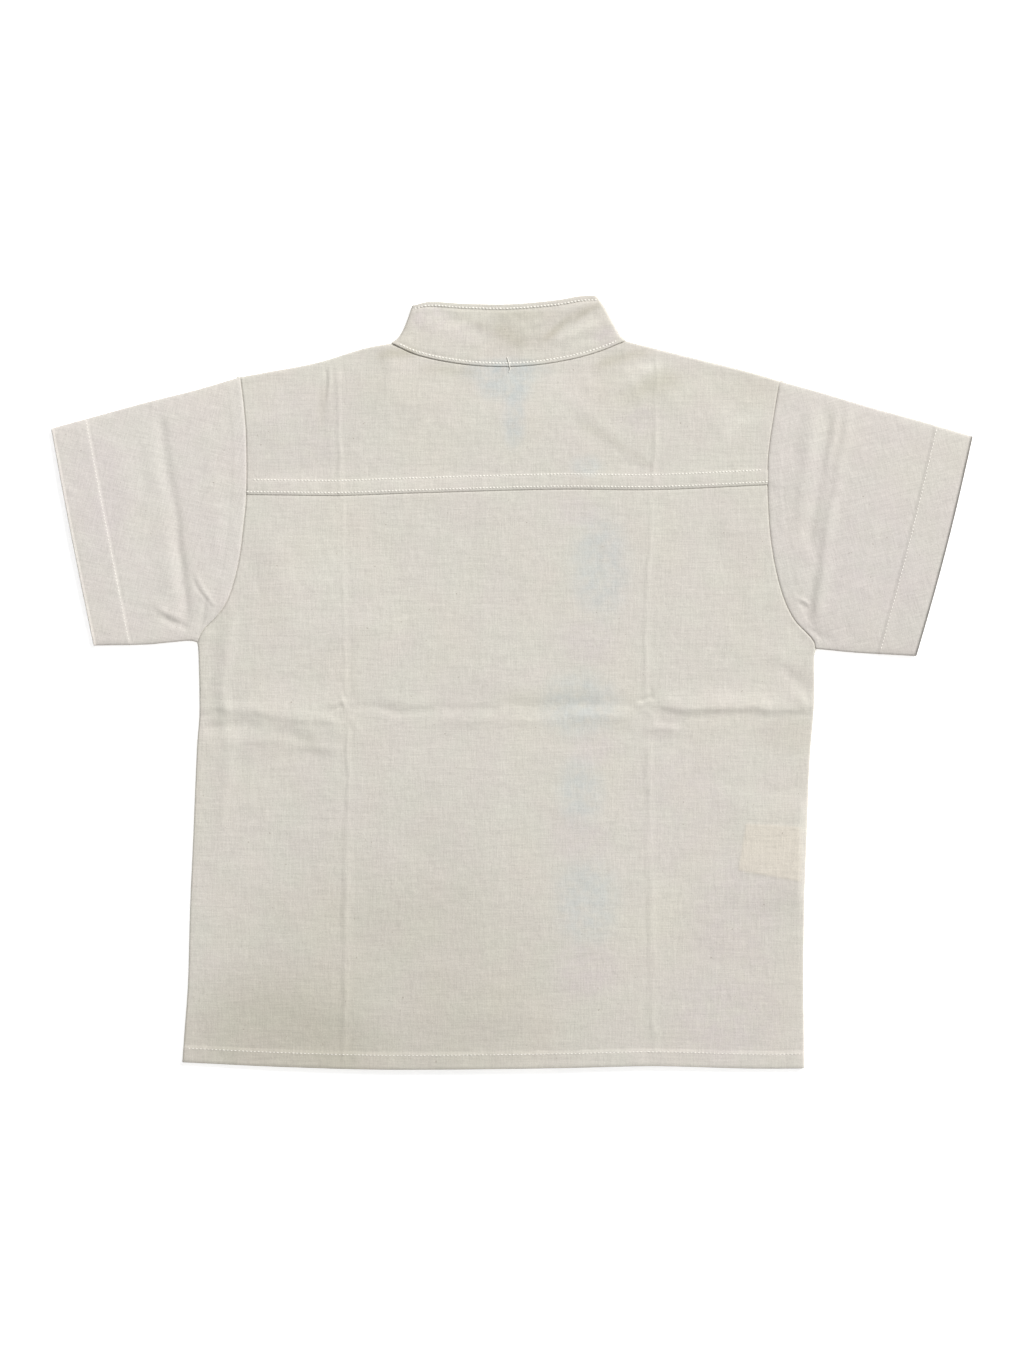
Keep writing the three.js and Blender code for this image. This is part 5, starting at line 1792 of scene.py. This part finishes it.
# ---- stitches
class StitchTree(NodeTree):
    """A node tree that sets sewn stitches along the curves of an object."""

    SIZES = (("Pitch", 1.7), ("Length", 1.25), ("Width", 0.42), ("Height", 0.30))

    def __init__(self) -> None:
        """Build the tree: points at a pitch, one thread bead on each, made real and dressed."""
        self.tree = bpy.data.node_groups.new("sewn_stitches", "GeometryNodeTree")
        face = self.tree.interface
        face.new_socket("Geometry", in_out="INPUT", socket_type="NodeSocketGeometry")
        for name, value in self.SIZES:
            face.new_socket(name, in_out="INPUT", socket_type="NodeSocketFloat").default_value = value * MM
        face.new_socket("Seed", in_out="INPUT", socket_type="NodeSocketInt").default_value = 7
        face.new_socket("Thread", in_out="INPUT", socket_type="NodeSocketMaterial")
        face.new_socket("Geometry", in_out="OUTPUT", socket_type="NodeSocketGeometry")
        source = self.add("NodeGroupInput")
        sample = self.add("GeometryNodeResampleCurve", mode="LENGTH")
        self.join(source.outputs["Geometry"], sample.inputs["Curve"])
        self.join(source.outputs["Pitch"], sample.inputs["Length"])
        bead = self.add("GeometryNodeMeshUVSphere")
        bead.inputs["Segments"].default_value = 6
        bead.inputs["Rings"].default_value = 5
        bead.inputs["Radius"].default_value = 0.5
        size = self.add("ShaderNodeCombineXYZ")
        for name, socket in zip(("Length", "Width", "Height"), size.inputs):
            self.join(source.outputs[name], socket)
        shaped = self.add("GeometryNodeTransform")
        self.join(bead.outputs["Mesh"], shaped.inputs["Geometry"])
        self.join(size.outputs[0], shaped.inputs["Scale"])
        tangent = self.add("GeometryNodeInputTangent")
        turn = self.add("FunctionNodeAlignEulerToVector", axis="X", pivot_axis="AUTO")
        self.join(tangent.outputs[0], turn.inputs["Vector"])
        uneven = self.add("FunctionNodeRandomValue", data_type="FLOAT")
        uneven.inputs[2].default_value = 0.84
        uneven.inputs[3].default_value = 1.10
        self.join(source.outputs["Seed"], uneven.inputs["Seed"])
        setter = self.add("GeometryNodeInstanceOnPoints")
        self.join(sample.outputs["Curve"], setter.inputs["Points"])
        self.join(shaped.outputs["Geometry"], setter.inputs["Instance"])
        self.join(turn.outputs[0], setter.inputs["Rotation"])
        self.join(uneven.outputs[1], setter.inputs["Scale"])
        real = self.add("GeometryNodeRealizeInstances")
        dress = self.add("GeometryNodeSetMaterial")
        self.join(setter.outputs[0], real.inputs[0])
        self.join(real.outputs[0], dress.inputs["Geometry"])
        self.join(source.outputs["Thread"], dress.inputs["Material"])
        self.join(dress.outputs[0], self.add("NodeGroupOutput").inputs[0])

    def run(
        self, name: str, lines: list[Array], sizes: dict[str, float], thread: bpy.types.Material
    ) -> Piece:
        """Sew along lines.

        Args:
            name: the piece's name.
            lines: arrays of points in metres.
            sizes: sizes in millimetres that differ from the usual ones.
            thread: the thread's material.

        Returns:
            The stitches as one plain mesh object.
        """
        data = bpy.data.curves.new(name, "CURVE")
        data.dimensions = "3D"
        for line in lines:
            spline = data.splines.new("POLY")
            spline.points.add(len(line) - 1)
            flat = np.concatenate((line, np.ones((len(line), 1))), axis=1)
            spline.points.foreach_set("co", flat.astype(np.float32).ravel())
        guide = linked(name + "_guide", data)
        modifier = guide.modifiers.new("stitches", "NODES")
        modifier.node_group = self.tree
        inputs = {s.name: s.identifier for s in self.tree.interface.items_tree if s.in_out == "INPUT"}
        for key, value in sizes.items():
            modifier[inputs[key]] = value * MM
        modifier[inputs["Thread"]] = thread
        mesh = as_mesh(guide)
        mesh.name = name
        made = linked(name, mesh)
        if not mesh.materials:
            mesh.materials.append(thread)
        mesh.shade_smooth()
        return made


def on_cloth(piece: Piece, x: Array, y: Array, lift: float, below: bool = False) -> Array:
    """Lay a line on a piece's cloth.

    Args:
        piece: the cloth.
        x: places across, in millimetres.
        y: places up, in millimetres.
        lift: height over the cloth, in millimetres.
        below: whether the line lies on the underside.

    Returns:
        Points in metres; places beside the cloth are left out.
    """
    sign = -1 if below else 1
    found = []
    for px, py in zip(np.ravel(x), np.ravel(y)):
        origin = Vector(((px + FrameShift.value[0]) * MM, (py + FrameShift.value[1]) * MM, sign * 0.05))
        hit, place, _, _ = piece.ray_cast(origin, Vector((0, 0, -sign)))
        if hit:
            found.append((place.x, place.y, place.z + sign * lift * MM))
    return np.array(found)


@dataclass
class Sewing:
    """Every seam and hem's topstitching."""

    tree: StitchTree
    thread: bpy.types.Material
    cloth: dict[str, Piece]

    def sew(self, name: str, piece: str, runs: list[tuple[Array, Array]], sizes: dict[str, float],
            lift: float = 0.04, below: bool = False) -> Piece:
        """Sew lines on one piece.

        Args:
            name: the stitches' name.
            piece: the cloth's node name.
            runs: pairs of x and y.
            sizes: the stitches' sizes.
            lift: height of the stitches' middle over the cloth.
            below: whether they lie on the underside.

        Returns:
            The stitches.
        """
        lines = [on_cloth(self.cloth[piece], x, y, lift, below) for x, y in runs]
        return self.tree.run(name, [line for line in lines if len(line) > 2], sizes, self.thread)

    def yoke(self) -> Piece:
        """Two rows above the yoke seam; the upper one stops short of the armholes."""
        near = np.linspace(-137.0, 132.4, 300)
        far = np.linspace(-133.4, 129.0, 300)
        sizes = {"Pitch": 1.75, "Length": 1.32, "Width": 0.76, "Height": 0.42}
        runs = [(near, YOKE_SEAM(near) + 1.35), (far, YOKE_SEAM(far) + 7.6)]
        return self.sew("yoke_stitches", "back_yoke", runs, sizes)

    def collar(self) -> Piece:
        """A row over the neck seam and one under the collar's upper edge."""
        x = np.linspace(-57.5, 54.0, 200)
        low = (x, BACK_NECK(x) + 1.6)
        top = np.linspace(-50.0, 43.6, 170)
        sizes = {"Pitch": 1.75, "Length": 1.42, "Width": 0.9, "Height": 0.46}
        return self.sew("collar_stitches", "collar", [low, (top, COLLAR_TOP(top) - 1.9)], sizes)

    def hem(self, piece: str, low: float, high: float, below: bool) -> Piece:
        """The row that holds a panel's hem.

        Args:
            piece: the panel's node name.
            low: where the row starts across.
            high: where it ends.
            below: whether it shows on the underside.

        Returns:
            The stitches.
        """
        x = np.linspace(low, high, 300)
        sizes = {"Pitch": 2.0, "Length": 1.35, "Width": 0.48, "Height": 0.34}
        return self.sew(f"{piece}_hem_stitches", piece, [(x, HEM_LINE(x) + 7.1)], sizes, below=below)

    def cuff(self, sleeve: Sleeve) -> Piece:
        """The row that holds a sleeve's hem, on both sides of the sleeve.

        Args:
            sleeve: the sleeve.

        Returns:
            The stitches.
        """
        x, y, a, _, length = sleeve.plan()
        at = int(np.argmin(np.abs(a[:, 0] * length - (length - sleeve.cuff))))
        name = f"sleeve_{sleeve.side.name.lower()}"
        sizes = {"Pitch": 1.8, "Length": 1.1, "Width": 0.56, "Height": 0.34}
        outward = sleeve.side.value * 0.45
        over = self.sew(f"{name}_hem_stitches", name, [(x[at] + outward, y[at])], sizes)
        under = self.sew("under", name, [(x[at] + outward, y[at])], sizes, lift=-0.08, below=True)
        return joined(over, [under])

    def strip(self) -> Piece:
        """Rows beside both edges of the outer front's button strip."""
        y = np.linspace(-192, 147, 260)
        sizes = {"Pitch": 1.9, "Length": 1.35, "Width": 0.42, "Height": 0.3}
        runs = [(np.full_like(y, CENTRE_X + 11.6), y), (np.full_like(y, CENTRE_X - 12.0), y)]
        return self.sew("button_strip_stitches", "front_left", runs, sizes, lift=-0.05, below=True)

    def buttonholes(self) -> Piece:
        """A worked buttonhole above each button, on the outer front."""
        runs = []
        for k in range(BUTTON_COUNT):
            y = BUTTON_TOP_Y - k * BUTTON_PITCH + np.linspace(-6.2, 6.2, 24)
            for side in (-0.55, 0.55):
                runs.append((np.full_like(y, CENTRE_X + side), y))
        sizes = {"Pitch": 0.5, "Length": 0.42, "Width": 1.0, "Height": 0.34}
        return self.sew("buttonhole_stitches", "front_left", runs, sizes, lift=-0.05, below=True)


@dataclass
class ThreadTail:
    """The loose end of thread left at the middle of the neck seam."""

    points: tuple[tuple[float, float, float], ...] = (
        (-2.2, 168.6, 0.3), (-1.6, 166.0, 0.55), (-0.9, 163.6, 0.6), (-0.6, 161.9, 0.35), (-1.5, 160.9, 0.25),
    )
    radius: float = 0.19

    def build(self, sewing: Sewing) -> Piece:
        """Lay the tail over the collar's seam edge and the yoke.

        Args:
            sewing: gives the cloth and the thread.

        Returns:
            The piece.
        """
        laid = []
        for x, y, lift in self.points:
            spots = [on_cloth(sewing.cloth[k], np.array([x]), np.array([y]), lift) for k in ("collar", "back_yoke")]
            tops = [spot[0] for spot in spots if len(spot)]
            laid.append(max(tops, key=lambda p: p[2]))
        data = bpy.data.curves.new("thread_tail", "CURVE")
        data.dimensions = "3D"
        data.bevel_depth, data.bevel_resolution, data.use_fill_caps = self.radius * MM, 2, True
        spline = data.splines.new("NURBS")
        spline.points.add(len(laid) - 1)
        spline.use_endpoint_u, spline.order_u = True, 3
        for point, place in zip(spline.points, laid):
            point.co = (*place, 1)
        mesh = as_mesh(linked("thread_tail_guide", data))
        mesh.materials.clear()
        mesh.materials.append(sewing.thread)
        return linked("thread_tail", mesh)


# ---- soft colour and painted shade
@dataclass(frozen=True)
class Blotch:
    """A soft patch of colour or of painted shade and light: its middle, half sizes and strength."""

    x: float
    y: float
    half_x: float
    half_y: float
    strength: float

    def fade(self, x: Array, y: Array) -> Array:
        """Share of the patch at each place, from 1 in its middle to 0 outside."""
        off = np.hypot((x - self.x) / self.half_x, (y - self.y) / self.half_y)
        return 1 - smooth((off - 0.45) / 0.9)


BLUE_PATCHES = (
    Blotch(39, 112, 9, 6, 0.5), Blotch(46, 60, 15, 27, 0.62), Blotch(36, -12, 20, 17, 0.66),
    Blotch(36, -57, 12, 19, 0.6), Blotch(39, -114, 17, 24, 0.6), Blotch(-3, 161, 21, 7, 0.9),
    Blotch(-9, 153, 9, 7, 0.8), Blotch(1, 151, 9, 8, 0.85), Blotch(1, 136, 6, 14, 0.75),
)
LILAC_PATCHES = (
    Blotch(34, 88, 13, 8, 0.4), Blotch(40, 22, 16, 13, 0.4), Blotch(44, -34, 15, 9, 0.45),
    Blotch(37, -82, 17, 12, 0.4), Blotch(38, -150, 18, 14, 0.6), Blotch(66, 136, 14, 8, 0.4),
    Blotch(-42, 189, 11, 7, 0.6), Blotch(-22, 181, 13, 6, 0.4), Blotch(49, 179, 7, 6, 0.6),
    Blotch(-214, 96, 16, 34, 0.35),
    Blotch(118, -120, 26, 40, 0.45), Blotch(190, 60, 26, 40, 0.3), Blotch(-112, 130, 30, 26, 0.3),
    Blotch(112, -172, 34, 26, 0.55), Blotch(85, -60, 30, 34, 0.3),
)
# Painted shade and light, multiplied into the cloth's colour: darker towards +x and towards the lower left, at the
# collar's middle, on the yoke beside the neck and beside the crease across the body; lighter below the yoke seam and
# in a few soft patches.
FULL_SHADE, SHADE_SLOPE = 0.95, 0.00012
SHADE_PATCHES = (
    Blotch(-124, -196, 58, 46, -0.11), Blotch(-64, -165, 112, 66, -0.08), Blotch(-55, -90, 100, 40, -0.025),
    Blotch(-24, -188, 34, 36, -0.02), Blotch(-50, 152, 60, 12, -0.035), Blotch(92, 152, 60, 12, -0.03),
    Blotch(-116, -34, 26, 10, -0.04), Blotch(-110, -8, 26, 8, 0.04), Blotch(143, -28, 18, 10, -0.04),
    Blotch(110, -150, 60, 50, -0.02), Blotch(-80, 46, 50, 24, 0.025),
    Blotch(-70, 103, 72, 8, 0.045), Blotch(-100, 78, 34, 30, 0.02), Blotch(2, 181, 24, 11, -0.06),
    Blotch(75, 156, 14, 8, -0.06), Blotch(20, -8, 30, 7, -0.04), Blotch(118, -10, 26, 10, 0.03),
)


def patches(table: tuple[Blotch, ...], x: Array, y: Array) -> Array:
    """Strength of a table's soft patches at each place.

    Args:
        table: the patches.
        x: places across.
        y: places up the body.

    Returns:
        Strengths from 0 to 1.
    """
    total = np.zeros_like(x)
    for p in table:
        total = np.maximum(total, p.strength * p.fade(x, y))
    return total


def tints_and_painted_shade(points: Array, label: bool) -> Array:
    """Masks of a piece: blue, lilac, cream, and painted shade and light as a share that the colour is multiplied by.

    Args:
        points: places in millimetres.
        label: whether the care label shows through the piece.

    Returns:
        Points x 4 numbers.
    """
    x, y = points[:, 0], points[:, 1]
    cream = 0.75 * label_edge(x, y) if label else np.zeros_like(x)
    # painted shade and light: an even slope across, strokes along creases and soft patches
    shade = FULL_SHADE - SHADE_SLOPE * x
    shade += fold_height(PAINTED_SHADE_STROKES, x, y)
    for p in SHADE_PATCHES:
        shade += p.strength * p.fade(x, y)
    return np.stack((patches(BLUE_PATCHES, x, y), patches(LILAC_PATCHES, x, y), cream, shade), axis=1)


# ---- studio
@dataclass
class Studio:
    """A pale table, a soft key light from the upper right, soft light from above and the camera."""

    field_height: float = 0.7098
    distance: float = 2.2
    key_power: float = 870.0
    key_size: float = 3.4
    fill_power: float = 21.8
    fill_size: float = 3.2
    sky: float = 0.247

    def build(self) -> None:
        """Make the floor, the lights, the world and the camera."""
        corners = [(x * TABLE_HALF, y * TABLE_HALF, TABLE_DROP) for x, y in ((-1, -1), (1, -1), (1, 1), (-1, 1))]
        floor = mesh_object("floor", np.array(corners), np.array([[0, 1, 2, 3]]))
        floor.data.materials.append(TABLE.material())
        self.light("key", (4.80, 5.20, 5.20), self.key_power, self.key_size)
        self.light("fill", (-0.3, -0.1, 2.6), self.fill_power, self.fill_size)
        world = bpy.data.worlds.new("soft_sky")
        world.use_nodes = True
        world.node_tree.nodes["Background"].inputs[0].default_value = (1, 1, 1, 1)
        world.node_tree.nodes["Background"].inputs[1].default_value = self.sky
        bpy.context.scene.world = world
        bpy.context.scene.view_settings.view_transform = "Standard"
        bpy.context.scene.view_settings.look = "None"
        data = bpy.data.cameras.new("camera")
        data.sensor_width = 36.0
        data.lens = 36.0 * self.distance / self.field_height
        data.clip_end = 20.0
        camera = linked("camera", data)
        camera.location = (0, 0, self.distance)
        bpy.context.scene.camera = camera

    def light(self, name: str, place: tuple[float, float, float], power: float, size: float) -> None:
        """Hang a square lamp that faces the shirt.

        Args:
            name: the lamp's name.
            place: where it hangs, in metres.
            power: its power in watts.
            size: the length of its side in metres.
        """
        data = bpy.data.lights.new(name, "AREA")
        data.energy, data.size = power, size
        lamp = linked(name, data)
        lamp.location = place
        lamp.rotation_mode = "QUATERNION"
        lamp.rotation_quaternion = (-Vector(place)).to_track_quat("-Z", "Y")


# ---- assembly
@dataclass
class Shirt:
    """The whole shirt, built and dressed in order."""

    cloth: dict[str, Piece] = field(default_factory=dict)

    def keep(self, node: str, piece: Piece, finish: bpy.types.Material, slot: str,
             label: bool = False) -> Piece:
        """Dress a cloth piece and let it stand for its solid.

        Args:
            node: the solid's name.
            piece: the cloth.
            finish: its material.
            slot: not used.
            label: whether the care label shows through.

        Returns:
            The piece.
        """
        piece.data.materials.clear()
        piece.data.materials.append(finish)
        paint(piece, tints_and_painted_shade(places(piece), label))
        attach(piece, "root")
        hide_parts(node)
        self.cloth[node] = piece
        LOG.info("%s: %d faces", piece.name, len(piece.data.polygons))
        return piece

    def add(self, piece: Piece, slot: str) -> Piece:
        """Let a small piece ride with the shirt.

        Args:
            piece: the piece.
            slot: not used.

        Returns:
            The piece.
        """
        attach(piece, "root")
        LOG.info("%s: %d faces", piece.name, len(piece.data.polygons))
        return piece

    def build(self) -> None:
        """Make every piece."""
        body, front = BODY_COTTON.material(), FRONT_COTTON.material()
        back, yoke = BackPanel(), BackYoke()
        fronts = {side: FrontPanel(side) for side in Side}
        sleeves = {
            Side.LEFT: Sleeve(Side.LEFT, LEFT_TOP, LEFT_UNDER, (-141.0, -238.9), (-163.2, -216.8), 0.4, 18.4),
            Side.RIGHT: Sleeve(Side.RIGHT, RIGHT_TOP, RIGHT_UNDER, (139.4, 239.4), (158.2, 210.1), 1.2, 19.8),
        }
        collar, tape = Collar(), CareLabel()
        self.keep("back_panel", back.build(), body, "cotton", label=True)
        self.keep("back_yoke", yoke.build(), body, "cotton")
        for side, panel in fronts.items():
            self.keep(f"front_{side.name.lower()}", panel.build(), front, "cotton_front")
        cottons = {Side.LEFT: LEFT_SLEEVE_COTTON, Side.RIGHT: RIGHT_SLEEVE_COTTON}
        for side, sleeve in sleeves.items():
            self.keep(f"sleeve_{side.name.lower()}", sleeve.build(), cottons[side].material(), "cotton_sleeve")
        self.keep("collar", collar.build(), COLLAR_COTTON.material(), "cotton_collar")
        self.keep("care_label", tape.build(), TAPE.material(), "label_cloth")
        shell_material = SHELL_FINISH.material()
        for number in range(1, BUTTON_COUNT + 1):
            button = Button(number).build()
            button.data.materials.clear()
            button.data.materials.append(shell_material)
            self.add(button, "shell_button")
            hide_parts(f"button_{number}")
        bpy.context.view_layer.update()
        sewn = self.sew(sleeves)
        self.declare(fronts, sleeves)

    def sew(self, sleeves: dict[Side, Sleeve]) -> dict[str, list[Piece]]:
        """Sew every row of stitches.

        Args:
            sleeves: the sleeves, for their hems.

        Returns:
            The stitches that go with each cloth, by its node's name.
        """
        sewing = Sewing(StitchTree(), THREAD.material(), self.cloth)
        sewn: dict[str, list[Piece]] = {node: [] for node in self.cloth}
        sewn["back_yoke"].append(self.add(sewing.yoke(), "cotton"))
        sewn["collar"].append(self.add(sewing.collar(), "cotton_collar"))
        sewn["collar"].append(self.add(ThreadTail().build(sewing), "cotton_collar"))
        sewn["back_panel"].append(self.add(sewing.hem("back_panel", -167.5, 149.5, False), "cotton"))
        sewn["front_left"].append(self.add(sewing.hem("front_left", -167.5, 7.0, True), "cotton_front"))
        sewn["front_right"].append(self.add(sewing.hem("front_right", 9.6, 149.5, True), "cotton_front"))
        sewn["front_left"].append(self.add(sewing.strip(), "cotton_front"))
        sewn["front_left"].append(self.add(sewing.buttonholes(), "cotton_front"))
        for side, sleeve in sleeves.items():
            node = f"sleeve_{side.name.lower()}"
            sewn[node].append(self.add(sewing.cuff(sleeve), "cotton_sleeve"))
        return sewn

    def declare(self, fronts: dict[Side, FrontPanel],
                sleeves: dict[Side, Sleeve]) -> None:
        """Make the names of the fronts and sleeves, and keep nothing.

        Args:
            fronts: the fronts by side.
            sleeves: the sleeves by side.
        """
        for side, panel in fronts.items():
            f"front_{side.name.lower()}"
        for side, sleeve in sleeves.items():
            f"sleeve_{side.name.lower()}"


def main() -> None:
    """Build the shirt and its studio."""
    logging.basicConfig(level=logging.INFO, format="%(name)s %(message)s")
    FrameShift.read()
    Shirt().build()
    Studio().build()


if __name__ == "__main__":
    main()
